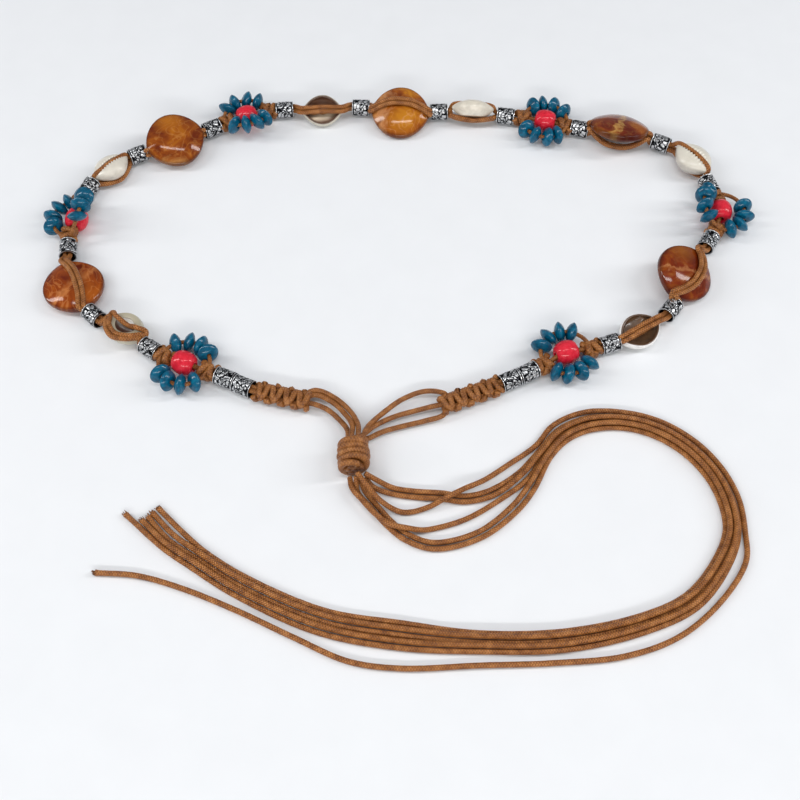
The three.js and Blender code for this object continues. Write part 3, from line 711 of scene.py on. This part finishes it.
def side_knot(skein, tube, side):
    middle = side_knot_place(tube, side)
    start, end = (middle + tube["travel"] * (SIDE_KNOT["half"] * way) for way in (-1, 1))
    square_knots(skein, start, end, *(SIDE_KNOT[key] for key in ("halves", "width", "height", "cord")))


LEADS = {
    "left": [
        [(-36, 0, 3.4), (-31.5, 2.2, 3.3), (-24.7, -0.9, 3.4), (-18, -8.4, 4.8), (-15.3, -15, 6.6),
         (-15.1, -19.3, 7.2)],
        [(-36, -1.6, 3.2), (-31.6, 0.2, 3.2), (-25.2, -3, 3.3), (-19.6, -9.8, 4.6), (-17.3, -15, 6.4),
         (-17.4, -19.3, 7.2)],
        [(-36, -3, 3), (-32, -3.6, 2.8), (-26.9, -6, 2.8), (-21.6, -11.6, 3.4), (-19.1, -16, 4.6),
         (-18.8, -19.3, 5)],
    ],
    "right": [
        [(18.6, -2.6, 3.4), (16.6, 0.8, 3.2), (9.4, 2.2, 2.6), (1, -1.3, 2.6), (-6.3, -7.9, 3.4),
         (-11.6, -14.8, 5.4), (-12.8, -18.8, 7.2)],
        [(18.4, -3.6, 3), (14.6, -3.9, 2.6), (5.9, -6.1, 2.2), (-2.6, -9.2, 2.6), (-9.2, -13.6, 3.8),
         (-12.6, -17, 4.4), (-13.9, -18.8, 4.8)],
        [(18.4, -4.6, 3), (15.8, -8.3, 2.4), (9.6, -10.2, 1.8), (1, -12.6, 1.8), (-6.3, -15.2, 2.2),
         (-11, -18, 2.6), (-12.4, -18.8, 2.9)],
    ],
}
INTO_KNOT = {"x": -16.7, "z": 5.9, "depth": 4.5}
BAND = {"width": 9.0, "height": 5.2, "axis": 3.2, "cord": 2.3, "core": 1.05}

for side, halves, tubes in (("left", 8, STATIONS[:2]), ("right", 9, STATIONS[-2:])):
    sennit = Skein()
    start, end = (np.array([*p, BAND["axis"]]) for p in BANDS[side])
    square_knots(sennit, start, end, halves, BAND["width"], BAND["height"], BAND["cord"])
    ends = [on(t, s * TUBE["length"] / 2, 0, 0) for t in tubes for s in (-1, 1)]
    ends.sort(key=lambda p: np.linalg.norm(p - start))
    inward = start + unit(end - start) * 2
    for k in range(3):
        turn = 2 * math.pi * k / 3 + 0.5
        shift = BAND["core"] * turn_to([0, 1, 0], UP, turn)
        sennit.lay(smooth([inward + shift, *[p + shift for p in ends]]), CORD * 0.95)
    for points in LEADS[side]:
        last = np.array(points[-1], float)
        into = [(INTO_KNOT["x"] - last[0]) * 0.3, -INTO_KNOT["depth"], (INTO_KNOT["z"] - last[2]) * 0.3]
        sennit.lay(smooth([*points, last + into]))
    sennit.piece(f"sennit_cords_{side}", KNOT_COTTON_SHADED, "waxed_cotton", f"sennit_{side}")
print("bands", len(BANDS), "leads", sum(len(routes) for routes in LEADS.values()))

# %% [markdown]
# ## The tie knot
# Five turns of cord bind all the strands, leaning a little because each turn climbs by its own
# width. It is a helix of slightly flattened cord, wrapped round a bundle of straight strands that
# fills it and shows at both ends. Two slow waves make the turns uneven, as hands leave them.

# %% Tie knot
TIE = {"middle": np.array([-16.7, -27.0, 5.89]), "length": 14.0, "radius": 6.1, "turns": 5,
       "lean": math.radians(4), "wrap": 2.7, "inner": 2.3, "strand": 2.5}
axis = np.array([-math.sin(TIE["lean"]), math.cos(TIE["lean"]), 0])
level = np.array([math.cos(TIE["lean"]), math.sin(TIE["lean"]), 0])
knot = Skein()
wrap = TIE["wrap"]
s = np.linspace(0, 1, 420)
angle = 2 * np.pi * TIE["turns"] * s + 1.2
run = (TIE["length"] - wrap) * (s - 0.5) + 0.5 * np.sin(angle + 0.7) * np.sin(np.pi * s)
ring = TIE["radius"] - wrap * 0.45 - 1.1 * (np.clip(0.04 - s, 0, 1) + np.clip(s - 0.96, 0, 1)) / 0.04
ring = ring - 0.22 * (1 + np.sin(2.3 * angle))
path = TIE["middle"] + np.outer(run, axis) + ring[:, None] * turn_to(level, UP, angle)
path[:, 2] = np.maximum(path[:, 2], wrap * 0.45)
knot.lay(even(path, 0.45), wrap, 16, 0.04, flat=0.86)
for k in range(7):
    offset = turn_to(level, UP, math.pi / 3 * k) * (TIE["inner"] if k < 6 else 0.0)
    ends = [TIE["middle"] + offset + axis * s * (TIE["length"] / 2 - 0.7) for s in (-1, 1)]
    knot.lay(even(np.array(ends), 0.6), TIE["strand"], 10)
knot.piece("tie_knot_wraps", KNOT_COTTON_SHADED, "waxed_cotton", "tie_knot")
print("tie knot turns", TIE["turns"])

# %% [markdown]
# ## Turned beads
# Painted wooden beads are turned on a lathe, so rings round an axis make them. A profile gives a
# radius for each place along the axis, and the frame of the piece says where the axis points. The
# petals are a little thinner and closer together than in the solids, and each is tipped a bit
# differently, as loose beads on a string are.


# %% Turned beads
def turned(skein, profile, middle, along, side, around=28):
    along = unit(along)
    side = unit(side - along * np.dot(side, along))
    third = np.cross(along, side)
    angle = np.linspace(0, 2 * np.pi, around + 1)
    profile = np.asarray(profile, float)
    ring = turn_to(side, third, angle[:-1])
    rings = middle + profile[:, None, 1:] * along + profile[:, None, :1] * ring
    u, v = np.meshgrid(profile[:, 1], np.linspace(0, 1, around + 1), indexing="ij")
    skein.add_rings(rings, np.stack([u * UV_STEP, v], -1), closed_ends=False)


def barrel(length, middle_radius, end_radius, bore):
    half = length / 2
    x = np.linspace(-1, 1, 20)
    radius = end_radius + (middle_radius - end_radius) * np.sqrt(1 - x ** 2)
    outside = [(r, half * k) for r, k in zip(radius, x)]
    return [(bore / 2, -half * 0.7), (bore / 2, -half * 0.94), (bore / 2 + 0.15, -half), *outside,
            (bore / 2 + 0.15, half), (bore / 2, half * 0.94), (bore / 2, half * 0.7)]


def lens(radius, half, bore):
    """A lentil: two domes that meet in a narrow, softened rim."""
    r = (bore / 2 + 0.12) + (radius - 0.03 - bore / 2 - 0.12) * np.linspace(0, 1, 9) ** 0.6
    dome = half * (1 - (r / radius) ** 2.1) ** 0.74
    near = [(a, -b) for a, b in zip(r, dome)]
    far = [(a, b) for a, b in reversed(list(zip(r, dome)))]
    return [(bore / 2, -half * 0.5), (bore / 2, -dome[0] + 0.1), *near, (radius, 0.0), *far,
            (bore / 2, dome[0] - 0.1), (bore / 2, half * 0.5)]


def painted_wood(name, deep, main, bright):
    paint = Finish(name, Coat_Roughness=0.08, Specular_IOR_Level=0.12)
    grain = paint.noise(420.0, 4.0, 0.6, warp=0.8)
    wear = paint.noise(900.0, 3.0, 0.55)
    tone = grain * 0.6 + wear * 0.4
    colour = paint.ramp(tone, (0.28, deep), (0.5, main), (0.75, bright))
    paint.bump(tone, 0.00008, 0.25)
    return paint.use(Base_Color=colour, Roughness=0.28 + wear * 0.1, Coat_Weight=0.6 - wear * 0.2)


TEAL = painted_wood("teal_paint", (0, 48, 72), (0, 84, 114), (0, 122, 154))
RED = painted_wood("red_paint", (176, 18, 38), (216, 34, 54), (232, 62, 80))
PETAL = {"diameter": 8.2, "half": 2.1, "bore": 1.7, "ring": 9.7, "angles": (-44, -15, 15, 44)}
PETAL_STRING = {"diameter": 1.6, "end_angle": 93}
RED_BEAD = {"diameter": 9.4, "shoulder": 0.7, "length": 8.8, "bore": 2.9}

for number, flower in numbered("flower"):
    place = STATIONS.index(flower)
    before, after = STATIONS[place - 1], STATIONS[place + 1]
    petals, strings, centre = Skein(), Skein(), Skein()
    mouth = RED_BEAD["bore"] / 2 + RED_BEAD["shoulder"]
    bead = barrel(RED_BEAD["length"], RED_BEAD["diameter"] / 2, mouth, RED_BEAD["bore"])
    turned(centre, bead, flower["middle"], flower["travel"], flower["look"], 36)
    centre.piece(f"red_bead_{number}", RED, "red_wood", f"flower_{number}_center")
    for side, degrees in enumerate(flower["arms"]):
        arm = look_along(flower, degrees)
        normal = np.cross(arm, flower["travel"])
        for k, angle in enumerate(PETAL["angles"]):
            turn = math.radians(angle + flower["slide"][side] + 1.5 * math.sin(5 * number + 3 * side + 2 * k))
            spoke, along = turn_to(arm, flower["travel"], turn), turn_to(flower["travel"], arm, -turn)
            nod, sway = 0.14 * math.sin(7 * number + 4 * k), 0.42 * math.cos(3 * number + 5 * k)
            along = unit(along + spoke * nod + normal * sway)
            size = 1 + 0.02 * math.sin(11 * number + 7 * side + 3 * k)
            rondelle = lens(PETAL["diameter"] / 2 * size, PETAL["half"] * size, PETAL["bore"])
            turned(petals, rondelle, flower["middle"] + spoke * PETAL["ring"], along, normal)
        turns = np.radians(np.linspace(-PETAL_STRING["end_angle"], PETAL_STRING["end_angle"], 72))
        arc = turn_to(arm, flower["travel"], turns) * PETAL["ring"]
        strings.lay(flower["middle"] + arc, PETAL_STRING["diameter"], 8)
    core = [side_knot_place(before, 1), flower["middle"], side_knot_place(after, -1)]
    strings.lay(smooth(core, 0.6), CORD, 10)
    side_knot(strings, before, 1)
    side_knot(strings, after, -1)
    petals.piece(f"petals_{number}", TEAL, "teal_wood", f"flower_{number}_petals")
    strings.piece(f"flower_cords_{number}", KNOT_COTTON_SHADED, "waxed_cotton", f"flower_{number}_petals")
print("flowers", len(numbered("flower")))

# %% [markdown]
# ## Marbled ovals
# Each oval is a polished resin pillow, a little pointed where it is drilled. Rings from the middle
# of the front over the rim to the middle of the back give one smooth closed skin, and the UV keeps
# the place along and across, so that each oval's own swirls can be painted where they belong.


# %% Ovals
def oval_skin(piece, skein):
    shares = np.linspace(0, 1, 22) ** 0.8
    rows = [(s, oval_thickness(s) / 2) for s in shares]
    bulge = 0.35 / (OVAL["width"] / 2)
    turns = np.radians([60, 30, 0, -30, -60])
    edge = [(1 + math.cos(a) * bulge, OVAL["rim"] / 2 * math.sin(a)) for a in turns]
    profile = [*rows, *edge, *[(s, -z) for s, z in reversed(rows)]]
    profile[0], profile[-1] = (0.004, profile[0][1]), (0.004, profile[-1][1])
    around = 96
    angle = np.linspace(0, 2 * np.pi, around + 1)
    x, y = np.cos(angle), np.sin(angle)
    rings, uv = [], []
    for share, z in profile:
        px = x * share
        py = y * share * np.abs(y) ** 0.3
        spot = piece["middle"] + np.outer(px * OVAL["length"] / 2, piece["travel"])
        spot = spot + np.outer(py * OVAL["width"] / 2, piece["across"]) + z * piece["look"]
        rings.append(spot[:-1])
        uv.append(np.stack([0.5 + px / 2, 0.5 + py / 2], -1))
    skein.add_rings(np.array(rings)[:, ::-1], np.array(uv)[:, ::-1])


def away(u, v, place):
    return ((u - place[0]) * (u - place[0]) + (v - place[1]) * (v - place[1])).do("SQRT")


def marbled(name, seed, deep, main, gold, pale, pale_at, pale_lean, pale_width, gold_at, swirls):
    paint = Finish(name, Specular_IOR_Level=0.32)
    u, v = paint.place()
    spot = paint.node("ShaderNodeCombineXYZ", {}, {"0": u, "1": v, "2": float(seed)}).outputs[0]
    cloud = paint.noise(2.2, 4.0, 0.55, spot, 1.6)
    vein = paint.noise(3.6, 4.0, 0.5, spot, 2.2)
    body = paint.ramp(cloud, (0.36, deep), (0.52, main), (0.7, gold))
    bent = u * math.cos(pale_lean) + v * math.sin(pale_lean) + (cloud - 0.5) * 0.5
    streak = 1.0 - ((bent - pale_at).do("ABSOLUTE") / pale_width).do("MINIMUM", 1.0)
    streak = streak * (0.1 + vein)
    glow = (1.0 - away(u, v, gold_at) * 3.2).do("MAXIMUM", 0.0) + (vein - 0.5) * 0.3
    colour = paint.mix(glow.clamp(), body, gold)
    colour = paint.mix(streak.do("MINIMUM", 0.85), colour, pale)
    swirl = paint.noise(2.0, 1.0, 0.4, spot, 3.0)
    line = ((swirl - 0.48).do("ABSOLUTE") * -26.0 + 1.0).do("MAXIMUM", 0.0)
    colour = paint.mix(line * cloud * swirls, colour, pale)
    # Towards the rim each oval is painted darker: painted shade where the pillow turns down.
    edge = ((away(u, v, (0.5, 0.5)) * 2.0 - 0.9) * 9.0).clamp()
    colour = paint.mix(edge * 0.7, colour, [c * 0.6 for c in deep])
    paint.bump(vein, 0.00004, 0.15)
    return paint.use(Base_Color=colour, Roughness=0.06 + cloud * 0.08)


RESINS = [
    dict(deep=(104, 34, 6), main=(142, 62, 10), gold=(168, 86, 18), pale=(200, 128, 70), pale_at=0.62,
         pale_lean=0.5, pale_width=0.08, gold_at=(0.2, 0.3), swirls=0.85),
    dict(deep=(104, 38, 8), main=(140, 68, 14), gold=(176, 104, 22), pale=(200, 140, 74), pale_at=0.15,
         pale_lean=1.2, pale_width=0.1, gold_at=(0.5, 0.85), swirls=0.5),
    dict(deep=(116, 50, 10), main=(154, 80, 18), gold=(190, 122, 26), pale=(214, 156, 104), pale_at=0.2,
         pale_lean=0.1, pale_width=0.14, gold_at=(0.55, 0.3), swirls=0.6),
    dict(deep=(92, 26, 10), main=(116, 44, 16), gold=(150, 82, 24), pale=(214, 170, 92), pale_at=0.5,
         pale_lean=0.0, pale_width=0.06, gold_at=(0.95, 0.5), swirls=0.2),
    dict(deep=(92, 26, 6), main=(120, 42, 10), gold=(144, 80, 18), pale=(186, 126, 78), pale_at=0.7,
         pale_lean=0.6, pale_width=0.05, gold_at=(0.25, 0.2), swirls=0.2),
]
for (number, piece), resin in zip(numbered("amber"), RESINS):
    oval = Skein()
    oval_skin(piece, oval)
    finish = marbled(f"marbled_resin_{number}", number, **resin)
    oval.piece(f"marbled_oval_{number}", finish, "amber_resin", f"amber_{number}")
print("ovals", len(RESINS))

# %% [markdown]
# ## Cowrie shells
# A cowrie is an egg whose base has a long toothed slit. For stringing, its domed back is ground
# flat until it opens, so one side shows the slit and the other a window with the inner roll. Rings
# run from the floor of the window, over the ground edge and the belly, to the lips of the slit, and
# teeth are pressed into the lips. Each ring also says which zone of the shell it belongs to.

# %% Cowries
HALF_LONG, HALF_WIDE = SHELL["length"] / 2, SHELL["width"] / 2
# The deepest rows sink into the slit and close it; the finish paints them dark brown as painted shade between
# the lips.
LIPS = [
    (0.985, 0.92, 0.0), (0.955, 0.8, 0.0), (0.925, 0.64, 0.0), (0.9, 0.48, 0.0), (0.885, 0.34, 0.0),
    (0.875, 0.23, 0.06), (0.87, 0.12, 0.3), (0.86, 0.08, 0.8), (0.85, 0.055, 1.5), (0.8, 0.035, 2.1),
    (0.5, 0.01, 2.2),
]
TOOTH_STEP = 1.3


def egg_height(x, y, deep):
    return deep * np.sqrt(np.clip(1 - (x / HALF_LONG) ** 2 - (y / HALF_WIDE) ** 2, 0.0, 1))


def cowrie_rows(cut, window):
    """Rows of (share along, share across, height or sink, zone): zone 0 in the window to 4 in the slit."""
    opening = math.sqrt(1 - (cut / (SHELL["back"] - 1.0)) ** 2) * 0.9 if window is None else window
    floor = [(0.1, 3.0), (0.55, 2.7), (0.85, 2.0), (1.0, 1.2), (1.02, 0.5), (1.0, 0.12)]
    rows = [(opening * k, opening * k, -cut + rise, 0.0) for k, rise in floor]
    outer = math.sqrt(1 - (cut / SHELL["back"]) ** 2)
    ground = ((opening + 0.015, 0.05), (outer - 0.03, 0.02))
    rows += [(share, share, -cut - under, 1.0) for share, under in ground]
    for z in np.linspace(-cut + 0.15, -0.1, 8):
        share = math.sqrt(1 - (z / SHELL["back"]) ** 2)
        rows.append((share, share, z, 2.0))
    return rows


def cowrie_skin(piece, skein, window, taper):
    around = 176
    angle = np.linspace(0, 2 * np.pi, around + 1)
    almond = np.abs(np.sin(angle)) ** 0.3 * (1 + 0.04 * np.cos(angle))
    size = piece["size"]
    rings, uv = [], []

    def add(x, y, z, zone):
        slim = 1 - taper * np.abs(x / HALF_LONG) ** 2.6
        spot = piece["middle"] + size * (np.outer(x, piece["travel"]) + np.outer(y * slim, piece["across"]))
        rings.append((spot + size * np.outer(z * slim, piece["look"]))[:-1])
        uv.append(np.stack([zone + 0 * x, angle / (2 * np.pi)], -1))

    for a, b, z, zone in cowrie_rows(piece["cut"], window):
        x, y = a * HALF_LONG * np.cos(angle), b * HALF_WIDE * np.sin(angle) * almond
        depth = np.full_like(x, z)
        if zone == 0:
            roll = np.exp(-((y - 2.2 + 0.2 * x) / 1.5) ** 2) * np.exp(-(x / 4.6) ** 4)
            depth = depth - 1.8 * roll * min(1.0, (z + piece["cut"]) / 2)
            zone = -roll
        add(x, y, depth, zone)
    for a, b, sink in LIPS:
        x = a * HALF_LONG * np.cos(angle)
        y = b * HALF_WIDE * np.sin(angle) * (almond if b > 0.3 else 1.0)
        depth = egg_height(x * 0.99, y, SHELL["front"])
        tooth = 0.5 + 0.5 * np.cos(2 * np.pi * x / TOOTH_STEP)
        lip = math.exp(-((b - 0.2) / 0.14) ** 2)
        depth = depth - sink - 0.6 * lip * tooth * (np.abs(x) < 6.8)
        y = y * (1 + 0.35 * tooth * (b < 0.2)) + 0.25 * np.sin(x / 4.6) * (b < 0.4)
        add(x, y, depth, 3.0 if sink < 0.25 else 4.0)
    skein.add_rings(np.array(rings), np.array(uv) * [UV_STEP, 1.0])


def shell_finish(name, body, back, inside, rim, roll=(206, 186, 160)):
    paint = Finish(name, Coat_Roughness=0.1, Specular_IOR_Level=0.5)
    u, turn = paint.place()
    zone = u * (1 / UV_STEP)
    cloud = paint.noise(260.0, 3.0, 0.5, warp=0.6)
    speck = paint.noise(1300.0, 3.0, 0.6)
    front = paint.ramp(cloud, (0.3, [c - 14 for c in body]), (0.7, body))
    side = paint.ramp(cloud + (speck - 0.5) * 0.3, (0.3, [c * 0.9 for c in back]), (0.65, back))
    # Where the window shows, its inside colour is dark brown, painted shade in the open hollow.
    lit = [min(235, c + 36) for c in inside]
    window = paint.ramp(cloud + (speck - 0.5) * 0.2, (0.3, inside), (0.72, lit))

    def step(edge, soft=0.5):
        return ((zone - edge) / soft + 0.5).clamp()

    window = paint.mix((zone * -1.6).clamp(), window, roll)
    colour = paint.mix(step(0.5, 0.6), window, rim)
    colour = paint.mix(step(1.3), colour, side)
    colour = paint.mix(step(2.6, 0.7), colour, front)
    # Zone 4, the walls and floor inside the slit, is painted dark brown: painted shade between the lips.
    colour = paint.mix(step(3.7), colour, (120, 92, 66))
    paint.bump(speck * 0.5 + cloud, 0.0001, 0.2)
    return paint.use(Base_Color=colour, Roughness=0.26 + speck * 0.16, Coat_Weight=0.25 + cloud * 0.3)


HIDDEN = dict(inside=(200, 170, 140), rim=(190, 160, 130))
# The dark insides of shells 1, 3 and 6 are painted shade in their open hollows; hidden windows keep a pale
# inside.
SHELLS = [
    (0.5, 0.2, dict(body=(222, 212, 192), back=(196, 188, 166), inside=(74, 40, 26), rim=(176, 168, 146),
                    roll=(200, 196, 188))),
    (None, 0.4, dict(body=(226, 219, 206), back=(222, 214, 200), **HIDDEN)),
    (None, 0.28, dict(body=(222, 214, 200), back=(206, 200, 184), inside=(84, 50, 30), rim=(86, 58, 40))),
    (None, 0.46, dict(body=(228, 220, 204), back=(230, 222, 206), **HIDDEN)),
    (None, 0.42, dict(body=(228, 222, 208), back=(204, 197, 186), **HIDDEN)),
    # Shell 6's outer wall is painted near white, as painted light on a side that faces away from the lamps.
    (None, 0.2, dict(body=(238, 236, 230), back=(252, 250, 247), inside=(70, 44, 20), rim=(84, 56, 34),
                     roll=(104, 74, 48))),
]
for (number, piece), (window, taper, look) in zip(numbered("cowrie"), SHELLS):
    shell = Skein()
    cowrie_skin(piece, shell, window, taper)
    finish = shell_finish(f"cowrie_shell_{number}", **look)
    shell.piece(f"cowrie_skin_{number}", finish, "cowrie_shell", f"cowrie_{number}")
print("cowries", len(SHELLS))

# %% [markdown]
# ## Metal tubes
# The tubes are cast with a raised leaf and blossom scroll between two plain rims, and darkened so
# that the ground stays black while the raised parts are rubbed bright. The relief moves the mesh
# itself, and is kept with the skin so that the finish knows high from low.


# %% Tubes
RELIEF = 0.34


def relief(turn, along):
    """Blossoms and leaves as raised pads, parted by narrow dark lines. along is -1 to 1."""
    around, across = 22.0, 3.1
    seeds = []
    for k in range(5):
        x, y = k * around / 5, 1.15 if k % 2 else -1.15
        seeds.append((x, y))
        for m in range(6):
            a = 2 * math.pi * (m + 0.5 * (k % 2)) / 6
            seeds.append((x + 1.15 * math.cos(a), y + 1.15 * math.sin(a)))
        for dx, dy in ((-0.9, -1.3), (0.2, -1.0), (1.1, -1.7), (0.0, -2.3)):
            seeds.append((x + dx, y + dy * (1 if k % 2 else -1) * 1.25))
    near = np.full(np.broadcast(turn, along).shape, 9.0)
    second = near.copy()
    for k, (x, y) in enumerate(seeds):
        dx = (turn * around - x + around / 2) % around - around / 2
        dy, lean = along * across - y, 2.4 * k
        leaf = dx * math.cos(lean) + dy * math.sin(lean), dy * math.cos(lean) - dx * math.sin(lean)
        gap = np.hypot(leaf[0] * 0.62, leaf[1] * 1.6)
        second = np.minimum(second, np.maximum(near, gap))
        near = np.minimum(near, gap)
    return np.clip((second - near - 0.14) / 0.26, 0, 1) * (1 - 0.5 * np.clip(0.22 - near, 0, 1) / 0.22)


def tube_skin(piece, skein, phase):
    around, half = 108, TUBE["length"] / 2
    body = np.linspace(-1, 1, 37)
    rim = 0.86
    turn = np.linspace(0, 1, around + 1)
    rows = []
    for share in body:
        high = np.ones_like(turn)
        if abs(share) < rim - 0.02:
            high = relief((turn + phase) % 1, np.full_like(turn, share / rim))
        if abs(abs(share) - rim) < 0.06:
            high = high * 0
        rows.append((share * half, TUBE["diameter"] / 2 - RELIEF + RELIEF * high, high))
    bore = TUBE["bore"] / 2
    lip = [(half, bore + 0.12), (half - 0.25, bore), (0.0, bore - 0.1), (-half + 0.25, bore),
           (-half, bore + 0.12)]
    rows += [(x, np.full_like(turn, r), np.full_like(turn, 0.2)) for x, r in lip]
    rows.append(rows[0])
    spoke = turn_to(piece["across"], piece["look"], 2 * np.pi * turn)
    rings, uv = [], []
    for x, radius, high in rows:
        rings.append((piece["middle"] + piece["travel"] * x + spoke * radius[:, None])[:-1])
        uv.append(np.stack([high, turn], -1))
    skein.add_rings(np.array(rings), np.array(uv), closed_ends=False)


def antique_silver():
    paint = Finish("antique_silver", Metallic=1.0)
    high, turn = paint.place()
    grime = paint.noise(900.0, 4.0, 0.6)
    rub = paint.noise(300.0, 2.0, 0.5)
    tone = (high * 0.85 + (grime - 0.5) * 0.3 + (rub - 0.5) * 0.3).do("MAXIMUM", 0.0)
    colour = paint.ramp(tone, (0.12, (16, 17, 20)), (0.38, (80, 82, 86)), (0.66, (172, 174, 176)),
                        (1.0, (236, 237, 239)))
    paint.bump(grime * 0.5 + high * 0.2, 0.00012, 0.5)
    return paint.use(Base_Color=colour, Roughness=0.55 - high * 0.27)


SILVER = antique_silver()
for number, piece in numbered("tube"):
    tube = Skein()
    tube_skin(piece, tube, number * 0.137)
    tube.piece(f"silver_tube_{number:02d}", SILVER, "silver", f"tube_{number:02d}")
print("tubes", len(numbered("tube")))

# %% [markdown]
# ## Table and light
# The photograph is lit like a product picture: a pale, slightly blue sheet, with soft light from
# each side, from above and from the front. Broad lamps would do for the shadows, but the polished
# pieces would show them as white blocks, so each lamp is a long narrow strip.

# %% Table and light
sheet = bpy.data.meshes.new("table")
sheet.from_pydata([(-4, -4, 0), (4, -4, 0), (4, 4, 0), (-4, 4, 0)], [], [(0, 1, 2, 3)])
table_top = bpy.data.objects.new("table", sheet)
scene.collection.objects.link(table_top)
paper = Finish("table_paper", Roughness=0.9, Specular_IOR_Level=0.1)
fleck = paper.noise(60.0, 3.0)
pale_blue = paper.ramp(fleck, (0.2, (234, 236, 239)), (0.8, (237, 239, 242)))
sheet.materials.append(paper.use(Base_Color=pale_blue))

scene.view_settings.view_transform = "Standard"
scene.world = bpy.data.worlds.new("room")
scene.world.use_nodes = True
scene.world.node_tree.nodes["Background"].inputs[0].default_value = (0.95, 0.97, 1.0, 1.0)
scene.world.node_tree.nodes["Background"].inputs[1].default_value = 0.3


def soft_light(name, place, size, power, colour=(1.0, 1.0, 1.0)):
    lamp = bpy.data.lights.new(name, "AREA")
    lamp.shape = "RECTANGLE"
    lamp.size, lamp.size_y = size
    lamp.energy = power
    lamp.color = colour
    made = bpy.data.objects.new(name, lamp)
    made.location = place
    made.rotation_euler = (-Vector(place)).to_track_quat("-Z", "Y").to_euler()
    scene.collection.objects.link(made)


LAMPS = [
    ("window_left", (-0.85, 0.0, 0.62), (0.12, 0.8), 4.0),
    ("window_right", (0.85, 0.05, 0.62), (0.12, 0.8), 4.0),
    ("top_fill", (0.0, -0.2, 1.2), (0.9, 0.08), 3.4),
    ("front_fill", (0.0, -0.9, 0.5), (1.1, 0.08), 4.0, (1.0, 0.98, 0.95)),
]
for lamp in LAMPS:
    soft_light(*lamp)
print("lights", len(LAMPS))
